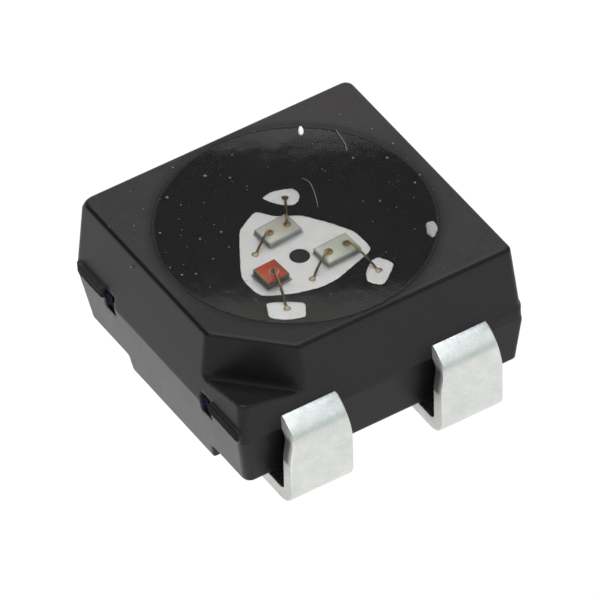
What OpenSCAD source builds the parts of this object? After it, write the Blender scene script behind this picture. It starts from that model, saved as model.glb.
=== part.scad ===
// Surface-mount light source: a black moulded cup on a stamped four-lead frame, three chips
// (red, green, blue) bonded on the shared middle plate, gold bond wires and a clear cast fill.
// Units are millimetres. +Z is up. The origin lies on the seating plane, under the centre of the
// package. Leads leave the body on +X and -X, and +Y runs along a lead side.

/* [Package] */
// Size of the body at the parting line, across the leads (X)
body_x = 2.98; // [2.96:0.02:3.04]
// Size of the body at the parting line, along a lead side (Y)
body_y = 3.20; // [3.1:0.02:3.3]
// Height of the top face above the seating plane
top_z = 1.78; // [1.76:0.01:1.85]
// Height of the parting line above the seating plane
part_z = 0.90; // [0.88:0.005:0.91]
// Height of the underside above the seating plane, over the feet of the leads
base_z = 0.265; // [0.25:0.005:0.3]
// Height of the standoff's face above the seating plane
standoff_z = 0.075; // [0.06:0.005:0.16]
// Length of the standoff along X, between the feet of the leads
standoff_x = 1.50; // [1.3:0.02:1.54]
// How far the walls lean in from the parting line up to the top face
draft_up = 0.07; // [0.04:0.01:0.08]
// How far the walls lean in from the parting line down to the underside
draft_down = 0.10; // [0.05:0.01:0.12]
// Radius of the upright corners
corner_r = 0.07; // [0.05:0.01:0.12]
// Rounding of the rim of the top face
edge_r = 0.03; // [0.02:0.005:0.04]

/* [Cut corner] */
// Length of the cut along each top edge
cut_leg = 0.65; // [0.5:0.05:0.7]
// Depth of the cut at its inner wall
cut_depth = 0.545; // [0.4:0.005:0.6]
// How much the floor of the cut rises towards the outer corner
cut_rise = 0.115; // [0.05:0.005:0.15]

/* [Cup] */
// Radius of the cup at the top face
cup_r_top = 1.36; // [1.25:0.01:1.36]
// Radius of the cup at its floor
cup_r_floor = 0.98; // [0.97:0.01:1.0]
// How far the cast fill is dished in the middle of the cup
fill_sag = 0.024; // [0.012:0.002:0.06]
// How far the fill stops below the rim
fill_drop = 0.003; // [0.002:0.001:0.02]

/* [Lead frame] */
// Thickness of the stamped sheet
sheet_t = 0.15; // [0.13:0.01:0.15]
// Height of the upper face of the sheet inside the body
sheet_z = 1.06; // [1.06:0.005:1.07]
// Black skin of the cup floor over the sheet
skin_t = 0.02; // [0.015:0.005:0.03]
// Size over the outer faces of the leads (X)
over_leads = 3.41; // [3.40:0.01:3.45]
// Distance between the middles of the two leads on one side
lead_pitch = 1.72; // [1.65:0.005:1.75]
// Width of a lead where it leaves the wall and round its upper bend
lead_neck_w = 0.63; // [0.55:0.01:0.66]
// Width of a lead on its outer face and foot
lead_w = 0.71; // [0.68:0.005:0.74]
// Outer radius of the upper bend
bend_r_top = 0.32; // [0.28:0.01:0.33]
// Outer radius of the lower bend
bend_r_foot = 0.205; // [0.18:0.005:0.22]
// Length of the foot under the body, from the outer face
foot_len = 0.72; // [0.6:0.02:0.8]

/* [Chips] */
// Long side of the green and blue chips
long_chip_l = 0.385; // [0.36:0.005:0.4]
// Short side of the green and blue chips
long_chip_w = 0.265; // [0.24:0.005:0.28]
// Height of the green and blue chips
long_chip_h = 0.10; // [0.08:0.005:0.12]
// Side of the red chip
red_chip_s = 0.255; // [0.23:0.005:0.27]
// Height of the red chip
red_chip_h = 0.155; // [0.14:0.005:0.17]
// Thickness of the bond line under a chip
attach_t = 0.010; // [0.008:0.001:0.015]
// Width of a contact pad on a chip
contact_d = 0.10; // [0.08:0.01:0.11]

/* [Bond wires] */
// Diameter of the wire
wire_d = 0.026; // [0.02:0.001:0.03]
// Diameter of the ball on the chip
ball_d = 0.074; // [0.06:0.002:0.08]
// Height of the ball
ball_h = 0.022; // [0.016:0.001:0.03]

/* [Hidden] */

eps = 0.01;
sheet_b = sheet_z - sheet_t;            // underside of the sheet inside the body
floor_z = sheet_z + skin_t;             // cup floor
lead_y = lead_pitch / 2;
lead_dy = 0.028;                        // all four leads sit this far off the body's centre along Y
face_x = over_leads / 2;                // outer face of a lead
wall_x = body_x / 2;
plate_shift = [0.03, 0.01];             // the stamped frame sits this far off the body's centre

// Outlines of the plated areas that the cup floor leaves bare, about the centre hole
WIN_CENTRE = [[0.26,-0.64],[-0.05,-0.645],[-0.34,-0.47],[-0.61,-0.31],[-0.70,-0.17],[-0.765,-0.03],[-0.735,0.01],
              [-0.61,0.10],[-0.55,0.19],[-0.50,0.29],[-0.45,0.345],[-0.23,0.50],[-0.02,0.62],
              [0.09,0.64],[0.30,0.635],[0.345,0.57],[0.37,0.485],[0.445,0.26],[0.495,0.08],[0.49,-0.10],[0.435,-0.31],[0.355,-0.49]];
WIN_BLUE = [[-0.885,0.13],[-0.915,0.22],[-0.91,0.305],[-0.88,0.385],[-0.85,0.455],[-0.80,0.475],[-0.75,0.475],[-0.70,0.45],
            [-0.655,0.41],[-0.635,0.36],[-0.64,0.315],[-0.725,0.215],[-0.81,0.165]];
WIN_GREEN = [[0.435,0.615],[0.515,0.665],[0.595,0.695],[0.645,0.665],[0.69,0.61],[0.745,0.54],[0.79,0.475],
             [0.795,0.44],[0.78,0.41],[0.73,0.37],[0.68,0.345],[0.62,0.37],[0.555,0.41],[0.50,0.47],[0.45,0.535]];
WIN_RED = [[0.38,-0.63],[0.425,-0.54],[0.47,-0.455],[0.53,-0.38],[0.585,-0.315],[0.67,-0.36],[0.76,-0.42],
           [0.75,-0.47],[0.735,-0.51],[0.71,-0.57],[0.68,-0.62],[0.63,-0.675],[0.58,-0.72],[0.48,-0.68]];

// Middles, turns and contact points of the chips, about the centre hole
BLUE_AT = [-0.388, 0.0];
BLUE_TURN = 4;
GREEN_AT = [0.16, 0.331];
GREEN_TURN = 3;
RED_AT = [0.103, -0.392];
RED_TURN = 3;

// Contact points on the chips, about the chip's middle, and stitch points about the centre hole
RED_PAD = [0.02, 0.02];
LONG_PAD_A = [-0.005, -0.095];
LONG_PAD_B = [0.005, 0.110];
RED_STITCH = [0.57, -0.508];
GREEN_STITCH_S = [0.616, 0.526];
GREEN_STITCH_C = [0.352, -0.087];
BLUE_STITCH_S = [-0.78, 0.333];
BLUE_STITCH_C = [-0.25, -0.36];

margin = 0.018;                         // the sheet reaches this far under the cup floor's skin
plug_r = 0.10;                          // centre hole of the die plate
contact_t = 0.004;                      // thickness of a contact pad
STUB_X = [-0.895, 0.83];                // middles of the tie bars, the same on both sides
stub_w = 0.10;
stub_t = 0.10;                          // a tie bar is thinner than the sheet
stub_in = 1.28;                         // inner end of a tie bar stub
stub_l = 0.318;                         // the cut end is about flush with the wall
notch_w = 0.165;
notch_x = 0.01;                         // a notch reaches further to +X of its tie bar than to -X
notch_in = 1.545;                       // bottom of a notch
notch_b = sheet_b - 0.135;              // lower end of a notch
notch_h = 0.255;                        // height of a notch
ridge_out = [0.037, 0.022];             // how far the parting ridge stands out, left and right of the tie bars
wall_back = 0.015;                      // the -X wall stands further out than the +X wall, here at the parting line
wall_far = 0.025;                       // the +Y wall stands further out than the -Y wall, here at the parting line
far_full = 0.072;                       // below the parting line the +Y wall leans in this much less
standoff_dx = 0.022;                    // middle of the standoff along X
top_back = 0.051;                       // the same at the top face
top_far = 0.023;
cup_x = -0.015;                         // middle of the cup along X

// Outline moved outwards by d, corner by corner
function grow(P, d) = let (n = len(P))
    [for (i = [0 : n - 1]) let (a = P[(i + n - 1) % n], b = P[i], c = P[(i + 1) % n],
        u = (b - a) / norm(b - a), v = (c - b) / norm(c - b),
        m = [u[1] + v[1], -u[0] - v[0]], k = 1 + u * v) b - d * m / k];

// Rounded rectangle as a ring of points at height z; its -X and +Y sides may stand further out by bx and fy
function ring_xy(x, y, r, z, bx = 0, fy = 0, k = 5) =
    [for (q = [0 : 3], i = [0 : k]) let (a = 90 * q + 90 * i / k,
        cx = (q == 0 || q == 3) ? x / 2 - r : r - x / 2 - bx, cy = q < 2 ? y / 2 + fy - r : r - y / 2)
        [cx + r * cos(a), cy + r * sin(a), z]];

// Solid through a stack of rings, lowest first
module loft(rings) {
    k = len(rings[0]);
    m = len(rings);
    polyhedron(points = [for (g = rings) for (p = g) p],
        faces = concat([[for (i = [0 : k - 1]) i]],
            [[for (i = [k - 1 : -1 : 0]) (m - 1) * k + i]],
            [for (j = [0 : m - 2], i = [0 : k - 1]) let (a = j * k + i, b = j * k + (i + 1) % k)
                [a, a + k, b + k, b]]), convexity = 4);
}

// ------------------------------------------------------------------ lead frame
// Side view of a lead outside the body: out of the wall, down and back under the body
module quarter(r, t, x, z, sx, sz) {
    translate([x, z]) intersection() {
        difference() { circle(r = r, $fn = 96); circle(r = r - t, $fn = 96); }
        translate([sx > 0 ? 0 : -r - 1, sz > 0 ? 0 : -r - 1]) square(r + 1);
    }
}
module j_profile() {
    quarter(bend_r_top, sheet_t, face_x - bend_r_top, sheet_z - bend_r_top, 1, 1);
    quarter(bend_r_foot, sheet_t, face_x - bend_r_foot, bend_r_foot, 1, -1);
    translate([wall_x - 0.18, sheet_b]) square([face_x - bend_r_top - wall_x + 0.18 + 0.0001, sheet_t]);
    translate([face_x - sheet_t, bend_r_foot - 0.0001]) square([sheet_t, sheet_z - bend_r_top - bend_r_foot + 0.0002]);
    translate([face_x - foot_len, 0]) square([foot_len - bend_r_foot + 0.0001, sheet_t]);
}
// One lead on the +X side, centred on y = 0: narrow round the upper bend, then widening down its face
module lead_j() {
    n = lead_neck_w / 2;
    w = lead_w / 2 - n;
    side = [[n, sheet_z + 0.1], [n, sheet_b], [n + 0.30 * w, sheet_b - 0.09], [n + 0.72 * w, sheet_b - 0.18],
            [n + 0.94 * w, sheet_b - 0.26], [n + w, sheet_b - 0.33], [n + w, -0.1]];
    intersection() {
        translate([0, 1, 0]) rotate([90, 0, 0]) linear_extrude(2) j_profile();
        translate([wall_x - 0.6, 0, 0]) rotate([90, 0, 90]) linear_extrude(1)
            polygon(concat(side, [for (i = [len(side) - 1 : -1 : 0]) [-side[i][0], side[i][1]]]));
    }
}
module sheet() { translate([0, 0, sheet_b]) linear_extrude(sheet_t) children(); }
module lead_at(sx, sy) {
    translate([0, sy * lead_y + lead_dy, 0]) if (sx > 0) lead_j(); else mirror([1, 0, 0]) lead_j();
}
n0 = lead_y - lead_neck_w / 2;          // near edge of a lead's neck
n1 = lead_y + lead_neck_w / 2;          // far edge of a lead's neck
nx = wall_x - 0.14;                     // the arms reach this far out and meet the necks

module common_plan() {
    difference() {
        union() {
            translate(plate_shift) polygon(grow(WIN_CENTRE, margin));
            translate([0, lead_dy]) polygon([[-0.10, -0.60], [-0.64, -0.20], [-1.02, -0.49], [-1.15, -n0], [-nx, -n0], [-nx, -n1], [-0.92, -n1], [-0.40, -0.86]]);
        }
        translate(plate_shift) circle(r = plug_r, $fn = 48);
    }
}
module red_plan() {
    translate(plate_shift) polygon(grow(WIN_RED, margin));
    translate([0, lead_dy]) polygon([[0.56, -0.36], [0.72, -0.40], [1.02, -n0], [nx, -n0], [nx, -n1], [0.98, -n1], [0.52, -0.68]]);
}
module green_plan() {
    translate(plate_shift) polygon(grow(WIN_GREEN, margin));
    translate([0, lead_dy]) polygon([[0.56, 0.52], [0.76, 0.42], [1.06, n0], [nx, n0], [nx, n1], [0.96, n1], [0.54, 0.66]]);
}
module blue_plan() {
    translate(plate_shift) polygon(grow(WIN_BLUE, margin));
    translate([0, lead_dy]) polygon([[-0.70, 0.42], [-0.86, 0.20], [-1.06, 0.44], [-1.18, n0], [-nx, n0], [-nx, n1], [-1.02, n1], [-0.74, 0.56]]);
}

module common_lead() color([0.86, 0.86, 0.84]) { sheet() common_plan(); lead_at(-1, -1); }
module red_lead() color([0.86, 0.86, 0.84]) { sheet() red_plan(); lead_at(1, -1); }
module green_lead() color([0.86, 0.86, 0.84]) { sheet() green_plan(); lead_at(1, 1); }
module blue_lead() color([0.86, 0.86, 0.84]) { sheet() blue_plan(); lead_at(-1, 1); }

// Cut ends of the tie bars that held the body in the strip
module tie_bar_stubs() color([0.55, 0.55, 0.54])
    for (x = STUB_X, sy = [-1, 1])
        translate([x - stub_w / 2, sy > 0 ? stub_in : -stub_in - stub_l, sheet_b])
            cube([stub_w, stub_l, stub_t]);

// ------------------------------------------------------------------ housing
// Body with its two drafts, plain rounded corners and a softened top rim
module body_block() {
    tx = body_x - 2 * draft_up;
    ty = body_y - 2 * draft_up;
    e = edge_r;
    loft([
        ring_xy(body_x - 2 * draft_down - 0.03, body_y - 2 * draft_down - 0.03, corner_r, base_z, wall_back, wall_far + far_full),
        ring_xy(body_x - 2 * draft_down, body_y - 2 * draft_down, corner_r, base_z + 0.02, wall_back, wall_far + far_full),
        ring_xy(body_x, body_y, corner_r, part_z, wall_back, wall_far),
        ring_xy(tx, ty, corner_r, top_z - e, top_back, top_far),
        ring_xy(tx - e * 0.27, ty - e * 0.27, corner_r, top_z - e * 0.5, top_back, top_far),
        ring_xy(tx - e * 0.9, ty - e * 0.9, corner_r, top_z - e * 0.14, top_back, top_far),
        ring_xy(tx - e * 2, ty - e * 2, corner_r, top_z, top_back, top_far)]);
}
// Standoff under the middle of the body: it carries the draft of the two side walls further down, and its ends
// stay clear of the feet of the leads
module standoff() {
    fall = part_z - base_z - 0.02;
    function ring_at(z, dx, inset) = let (k = (part_z - z) / fall)
        ring_xy(standoff_x + dx, body_y - 2 * draft_down * k - 2 * inset, 0.03, z, 0, wall_far + far_full * k);
    translate([standoff_dx, 0, 0]) loft([
        ring_at(standoff_z, -0.03, 0.015),
        ring_at(standoff_z + 0.02, 0, 0.001),
        ring_at(base_z + 0.05, 0.05, 0.001)]);
}
// Thin ridge along the parting line of a side wall, as high as the sheet is thick, from x0 to x1
module parting_ridge(x0, x1, out) {
    translate([x0, body_y / 2 - 0.05, sheet_b]) rotate([90, 0, 90])
        linear_extrude(x1 - x0)
            polygon([[0, -0.01], [0.05, -0.008], [0.05 + out, 0.002], [0.05 + out, 0.125], [0.046 + out, 0.132], [0.036, 0.138], [0, 0.14]]);
}
// Corner cut away from the top: an upright inner wall and a floor that rises outwards
module corner_cut() {
    tx = body_x / 2 - draft_up;
    ty = body_y / 2 - draft_up;
    w = 1.4;
    translate([tx - cut_leg / 2, -ty + cut_leg / 2, top_z]) rotate([90, 0, -45]) translate([0, 0, -w / 2])
        linear_extrude(w)
            polygon([[0, 0.3], [0, 0], [0.012, 0.08 - cut_depth], [0.022, 0.04 - cut_depth], [0.045, 0.014 - cut_depth],
                     [0.08, 0.004 - cut_depth], [0.12, 0.012 - cut_depth], [0.46, cut_rise - cut_depth],
                     [0.80, cut_rise * 2 - cut_depth], [0.80, 0.3]]);
}
module cup_space(r0, z0, z1) {
    k = (cup_r_top - cup_r_floor) / (top_z - floor_z);
    translate([cup_x, 0, z0]) cylinder(r1 = r0, r2 = r0 + k * (z1 - z0), h = z1 - z0, $fn = 128);
}
module windows(z0, z1) {
    translate([plate_shift[0], plate_shift[1], z0]) linear_extrude(z1 - z0) {
        polygon(WIN_CENTRE);
        polygon(WIN_BLUE);
        polygon(WIN_GREEN);
        polygon(WIN_RED);
    }
}
module housing() color([0.13, 0.13, 0.135]) {
    difference() {
        union() {
            body_block();
            standoff();
            for (x = [[-wall_x + corner_r * 0.4, STUB_X[0] - 0.05, ridge_out[0]], [STUB_X[1] + 0.05, wall_x - corner_r * 0.4, ridge_out[1]]]) {
                mirror([0, 1, 0]) parting_ridge(x[0], x[1], x[2]);
                parting_ridge(x[0], x[1], wall_far + 0.018);
            }
        }
        corner_cut();
        cup_space(cup_r_floor, floor_z, top_z + 0.1);
        windows(sheet_z, floor_z + 0.05);
        // notches at the tie bars
        for (x = STUB_X, sy = [-1, 1])
            translate([x + notch_x - notch_w / 2, sy > 0 ? notch_in : -notch_in - 0.3, notch_b])
                cube([notch_w, 0.3, notch_h]);
        common_lead();
        red_lead();
        green_lead();
        blue_lead();
        tie_bar_stubs();
    }
}

// ------------------------------------------------------------------ chips
module at_chip(at, turn, z) { translate([plate_shift[0] + at[0], plate_shift[1] + at[1], z]) rotate(turn) children(); }
module slab(x, y, h) { translate([-x / 2, -y / 2, 0]) cube([x, y, h]); }
chip_z = sheet_z + attach_t;

module red_die() color([0.85, 0.25, 0.1]) at_chip(RED_AT, RED_TURN, chip_z) slab(red_chip_s, red_chip_s, red_chip_h);
module green_die() color([0.66, 0.71, 0.67]) at_chip(GREEN_AT, GREEN_TURN, chip_z) slab(long_chip_w, long_chip_l, long_chip_h);
module blue_die() color([0.68, 0.71, 0.70]) at_chip(BLUE_AT, BLUE_TURN, chip_z) slab(long_chip_w, long_chip_l, long_chip_h);

module red_die_attach() color([0.75, 0.75, 0.73]) at_chip(RED_AT, RED_TURN, sheet_z) slab(red_chip_s + 0.03, red_chip_s + 0.03, attach_t);
module green_die_attach() color([0.9, 0.9, 0.88]) at_chip(GREEN_AT, GREEN_TURN, sheet_z) slab(long_chip_w + 0.03, long_chip_l + 0.03, attach_t);
module blue_die_attach() color([0.9, 0.9, 0.88]) at_chip(BLUE_AT, BLUE_TURN, sheet_z) slab(long_chip_w + 0.03, long_chip_l + 0.03, attach_t);

// Gold contact pads: one in the middle of the red chip, one near each end of the long chips
module contact(at) { translate([at[0], at[1], 0]) rotate(15) cylinder(r = contact_d / 2 / cos(15), h = contact_t, $fn = 12); }
module red_die_pad() color([0.85, 0.68, 0.3]) at_chip(RED_AT, RED_TURN, chip_z + red_chip_h) contact(RED_PAD);
module green_die_pads() color([0.85, 0.68, 0.3]) at_chip(GREEN_AT, GREEN_TURN, chip_z + long_chip_h) { contact(LONG_PAD_A); contact(LONG_PAD_B); }
module blue_die_pads() color([0.85, 0.68, 0.3]) at_chip(BLUE_AT, BLUE_TURN, chip_z + long_chip_h) { contact(LONG_PAD_A); contact(LONG_PAD_B); }

// ------------------------------------------------------------------ bond wires
function turned(p, a) = [p[0] * cos(a) - p[1] * sin(a), p[0] * sin(a) + p[1] * cos(a)];
function on_chip(at, turn, p) = plate_shift + at + turned(p, turn);
flat8 = cos(22.5);                      // flats of an eight-sided ring lie this much nearer its middle

function ring8(c, u, n, dir, hw, hh) =
    [for (i = [0 : 7]) let (a = 45 * i + 22.5, o = hh * sin(a), h = c[0] - dir[1] * o, z = c[1] + dir[0] * o)
        [u[0] * h + n[0] * hw * cos(a), u[1] * h + n[1] * hw * cos(a), z]];

// One swept solid: flattened ball on the chip, loop, and a flat stitch on the plate.
// rise is the height of the loop's shoulder over the chip, set by hand for each wire.
module bond_wire(from, z_from, to, rise) {
    d = to - from;
    len = norm(d);
    u = d / len;
    n = [u[1], -u[0]];
    r = wire_d / 2;
    rb = ball_d / 2;
    drop = z_from - sheet_z;
    span = len - 0.05;
    N = 10;
    p0 = [0.002, ball_h + 0.03];
    p1 = [0.01, rise * 1.35];
    p2 = [0.50 * span, rise * 1.0];
    p3 = [span, 0.9 * r - drop];
    arc = [for (i = [0 : N]) let (t = i / N) pow(1 - t, 3) * p0 + 3 * pow(1 - t, 2) * t * p1 + 3 * (1 - t) * t * t * p2 + t * t * t * p3];
    pts = concat([[0, 0], [0, ball_h * 0.4], [0, ball_h * 0.8], [0, ball_h * 1.02], [0, ball_h + 0.012]], arc,
        [[span + 0.018, 0.0075 * flat8 - drop], [span + 0.034, 0.0050 * flat8 - drop], [len, 0.0042 * flat8 - drop]]);
    hw = concat([rb * 0.84, rb, rb * 0.88, rb * 0.52, r], [for (i = [0 : N]) r], [0.019, 0.026, 0.024]);
    hh = concat([rb * 0.84, rb, rb * 0.88, rb * 0.52, r], [for (i = [0 : N]) i == N ? 0.9 * r : r], [0.0075, 0.0050, 0.0042]);
    m = len(pts);
    dirs = [for (i = [0 : m - 1]) i < 5 ? [0, 1] : i > m - 4 ? [1, 0] : let (v = pts[i + 1] - pts[i - 1]) v / norm(v)];
    rings = [for (i = [0 : m - 1]) ring8(pts[i], u, n, dirs[i], hw[i], hh[i])];
    translate([from[0], from[1], z_from]) polyhedron(
        points = [for (g = rings) for (p = g) p],
        faces = concat([[for (i = [7 : -1 : 0]) i]], [[for (i = [0 : 7]) (m - 1) * 8 + i]],
            [for (j = [0 : m - 2], i = [0 : 7]) let (a = j * 8 + i, b = j * 8 + (i + 1) % 8) [b, b + 8, a]],
            [for (j = [0 : m - 2], i = [0 : 7]) let (a = j * 8 + i, b = j * 8 + (i + 1) % 8) [a, b + 8, a + 8]]),
        convexity = 6);
}
long_top = chip_z + long_chip_h + contact_t;
red_top = chip_z + red_chip_h + contact_t;

module red_wire() color([0.8, 0.62, 0.3]) bond_wire(on_chip(RED_AT, RED_TURN, RED_PAD), red_top, plate_shift + RED_STITCH, 0.085);
module green_wire_signal() color([0.8, 0.62, 0.3]) bond_wire(on_chip(GREEN_AT, GREEN_TURN, LONG_PAD_B), long_top, plate_shift + GREEN_STITCH_S, 0.10);
module green_wire_common() color([0.8, 0.62, 0.3]) bond_wire(on_chip(GREEN_AT, GREEN_TURN, LONG_PAD_A), long_top, plate_shift + GREEN_STITCH_C, 0.09);
module blue_wire_signal() color([0.8, 0.62, 0.3]) bond_wire(on_chip(BLUE_AT, BLUE_TURN, LONG_PAD_B), long_top, plate_shift + BLUE_STITCH_S, 0.10);
module blue_wire_common() color([0.8, 0.62, 0.3]) bond_wire(on_chip(BLUE_AT, BLUE_TURN, LONG_PAD_A), long_top, plate_shift + BLUE_STITCH_C, 0.09);

// ------------------------------------------------------------------ cast fill
// A shallow dish, almost flush with the rim
module fill_space() {
    k = (cup_r_top - cup_r_floor) / (top_z - floor_z);
    zr = top_z - fill_drop;
    rr = cup_r_floor + k * (zr - floor_z);
    M = 8;
    translate([cup_x, 0, 0]) rotate_extrude($fn = 128) polygon(concat([[0, floor_z], [cup_r_floor, floor_z]],
        [for (i = [0 : M]) let (t = 1 - i / M) [rr * t, zr - fill_sag * (1 - t * t)]]));
    windows(sheet_z, floor_z + 0.005);
}
module encapsulant() color([0.75, 0.77, 0.78, 0.35]) {
    difference() {
        fill_space();
        red_die(); green_die(); blue_die();
        red_die_attach(); green_die_attach(); blue_die_attach();
        red_die_pad(); green_die_pads(); blue_die_pads();
        red_wire(); green_wire_signal(); green_wire_common(); blue_wire_signal(); blue_wire_common();
    }
}

housing();
encapsulant();
common_lead();
red_lead();
green_lead();
blue_lead();
tie_bar_stubs();
red_die();
green_die();
blue_die();
red_die_attach();
green_die_attach();
blue_die_attach();
red_die_pad();
green_die_pads();
blue_die_pads();
red_wire();
green_wire_signal();
green_wire_common();
blue_wire_signal();
blue_wire_common();
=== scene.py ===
import math

import bmesh
import bpy
import mathutils
import numpy as np
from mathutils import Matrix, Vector


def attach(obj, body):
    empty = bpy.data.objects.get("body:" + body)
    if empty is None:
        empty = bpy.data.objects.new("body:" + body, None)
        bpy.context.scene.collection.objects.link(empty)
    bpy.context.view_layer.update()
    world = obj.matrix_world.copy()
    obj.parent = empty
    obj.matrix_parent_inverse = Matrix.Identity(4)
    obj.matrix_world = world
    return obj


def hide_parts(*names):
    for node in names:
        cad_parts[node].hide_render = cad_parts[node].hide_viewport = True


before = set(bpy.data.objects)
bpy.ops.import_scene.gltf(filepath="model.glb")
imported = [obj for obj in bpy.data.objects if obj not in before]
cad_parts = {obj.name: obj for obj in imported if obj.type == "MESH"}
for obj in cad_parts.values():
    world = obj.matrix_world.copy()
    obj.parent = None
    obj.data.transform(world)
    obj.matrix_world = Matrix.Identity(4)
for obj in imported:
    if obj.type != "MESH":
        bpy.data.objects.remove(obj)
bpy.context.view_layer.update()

MM = 0.001
RNG = np.random.default_rng(20)

# ---------------------------------------------------------------- sizes, in millimetres, as in the CAD source
TOP, PART, BASE = 1.78, 0.90, 0.265
STAND_Z, STAND_X, STAND_DX = 0.075, 1.50, 0.022
BX, BY = 2.98, 3.20
DUP, DDOWN = 0.07, 0.10
CUP_T, CUP_F, CUP_X = 1.36, 0.98, -0.015
SHEET_Z, SHEET_T = 1.06, 0.15
SHEET_B = SHEET_Z - SHEET_T
FLOOR_Z = 1.08
FACE_X = 1.705
LEAD_Y, LEAD_DY = 0.86, 0.028
NECK, WIDE = 0.63, 0.71
R_TOP, R_FOOT, FOOT = 0.32, 0.205, 0.72
WALL_X = BX / 2
SHIFT = np.array([0.03, 0.01])
STUBS = (-0.895, 0.83)
SLOPE = (CUP_T - CUP_F) / (TOP - FLOOR_Z)

WIN_CENTRE = [(0.26, -0.64), (-0.05, -0.645), (-0.34, -0.47), (-0.61, -0.31), (-0.70, -0.17), (-0.765, -0.03), (-0.735, 0.01),
              (-0.61, 0.10), (-0.55, 0.19), (-0.50, 0.29), (-0.45, 0.345), (-0.23, 0.50), (-0.02, 0.62),
              (0.09, 0.64), (0.30, 0.635), (0.345, 0.57), (0.37, 0.485), (0.445, 0.26), (0.495, 0.08), (0.49, -0.10),
              (0.435, -0.31), (0.355, -0.49)]
WIN_BLUE = [(-0.885, 0.13), (-0.915, 0.22), (-0.91, 0.305), (-0.88, 0.385), (-0.85, 0.455), (-0.80, 0.475), (-0.75, 0.475),
            (-0.70, 0.45), (-0.655, 0.41), (-0.635, 0.36), (-0.64, 0.315), (-0.725, 0.215), (-0.81, 0.165)]
WIN_GREEN = [(0.435, 0.615), (0.515, 0.665), (0.595, 0.695), (0.645, 0.665), (0.69, 0.61), (0.745, 0.54), (0.79, 0.475),
             (0.795, 0.44), (0.78, 0.41), (0.73, 0.37), (0.68, 0.345), (0.62, 0.37), (0.555, 0.41), (0.50, 0.47), (0.45, 0.535)]
WIN_RED = [(0.38, -0.63), (0.425, -0.54), (0.47, -0.455), (0.53, -0.38), (0.585, -0.315), (0.67, -0.36), (0.76, -0.42),
           (0.75, -0.47), (0.735, -0.51), (0.71, -0.57), (0.68, -0.62), (0.63, -0.675), (0.58, -0.72), (0.48, -0.68)]

BLUE_AT, BLUE_TURN = (-0.388, 0.0), 4
GREEN_AT, GREEN_TURN = (0.16, 0.331), 3
RED_AT, RED_TURN = (0.103, -0.392), 3
RED_PAD = (0.02, 0.02)
LONG_PAD_A, LONG_PAD_B = (-0.005, -0.095), (0.005, 0.110)
RED_STITCH = (0.57, -0.508)
GREEN_STITCH_S, GREEN_STITCH_C = (0.616, 0.526), (0.352, -0.087)
BLUE_STITCH_S, BLUE_STITCH_C = (-0.78, 0.333), (-0.25, -0.36)
LONG_L, LONG_W, LONG_H = 0.385, 0.265, 0.10
RED_S, RED_H = 0.255, 0.155
ATTACH_T, CONTACT_D, CONTACT_T = 0.010, 0.10, 0.004
WIRE_D, BALL_D, BALL_H = 0.026, 0.074, 0.022


# ---------------------------------------------------------------- mesh helpers
def new_mesh(name, verts, faces, smooth=True, scale=MM):
    me = bpy.data.meshes.new(name)
    verts = np.asarray(verts, float) * scale
    me.from_pydata(verts.tolist(), [], [list(map(int, f)) for f in faces])
    me.validate()
    me.update()
    ob = bpy.data.objects.new(name, me)
    bpy.context.scene.collection.objects.link(ob)
    if smooth:
        me.polygons.foreach_set("use_smooth", [True] * len(me.polygons))
    return ob


def quads_mesh(name, verts, quads):
    me = bpy.data.meshes.new(name)
    n, m = len(verts), len(quads)
    me.vertices.add(n)
    me.vertices.foreach_set("co", (np.asarray(verts, float) * MM).astype(np.float32).ravel())
    me.loops.add(4 * m)
    me.loops.foreach_set("vertex_index", np.asarray(quads, np.int32).ravel())
    me.polygons.add(m)
    me.polygons.foreach_set("loop_start", np.arange(0, 4 * m, 4, dtype=np.int32))
    me.polygons.foreach_set("use_smooth", np.ones(m, bool))
    me.update(calc_edges=True)
    me.validate()
    ob = bpy.data.objects.new(name, me)
    bpy.context.scene.collection.objects.link(ob)
    return ob


def apply_all(ob):
    dg = bpy.context.evaluated_depsgraph_get()
    dg.update()
    me = bpy.data.meshes.new_from_object(ob.evaluated_get(dg), depsgraph=dg)
    ob.modifiers.clear()
    old = ob.data
    ob.data = me
    if old.users == 0 and isinstance(old, bpy.types.Mesh):
        bpy.data.meshes.remove(old)
    return ob


def boolean(ob, other, op):
    m = ob.modifiers.new("b", "BOOLEAN")
    m.operation = op
    m.solver = "EXACT"
    m.object = other
    apply_all(ob)
    bpy.data.objects.remove(other)
    return ob


def finish_mesh(ob, angle=35):
    """Millimetres to metres, smooth with sharp edges kept."""
    ob.data.transform(mathutils.Matrix.Scale(MM, 4))
    ob.data.polygons.foreach_set("use_smooth", [True] * len(ob.data.polygons))
    ob.data.set_sharp_from_angle(angle=math.radians(angle))
    ob.data.update()
    return ob


def join(objs, name):
    bm = bmesh.new()
    for o in objs:
        bm.from_mesh(o.data)
    me = bpy.data.meshes.new(name)
    bm.to_mesh(me)
    bm.free()
    for o in objs:
        bpy.data.objects.remove(o)
    ob = bpy.data.objects.new(name, me)
    bpy.context.scene.collection.objects.link(ob)
    return ob


def tube(rings, close=True):
    """Vertices and faces through equal rings of points; ends capped with a fan-free n-gon."""
    k = len(rings[0])
    v = [p for r in rings for p in r]
    f = []
    for j in range(len(rings) - 1):
        for i in range(k):
            a, b = j * k + i, j * k + (i + 1) % k
            f.append((a, b, b + k, a + k))
    if close:
        f.append(tuple(range(k - 1, -1, -1)))
        f.append(tuple((len(rings) - 1) * k + i for i in range(k)))
    return v, f


def round_rect(w, t, r, n=4):
    """Closed outline of a rectangle w by t about 0, its corners rounded by r."""
    out = []
    for q, (sx, sy) in enumerate([(1, 1), (-1, 1), (-1, -1), (1, -1)]):
        for i in range(n + 1):
            a = math.radians(90 * q + 90 * i / n)
            out.append((sx * (w / 2 - r) + r * math.cos(a), sy * (t / 2 - r) + r * math.sin(a)))
    return out


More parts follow.
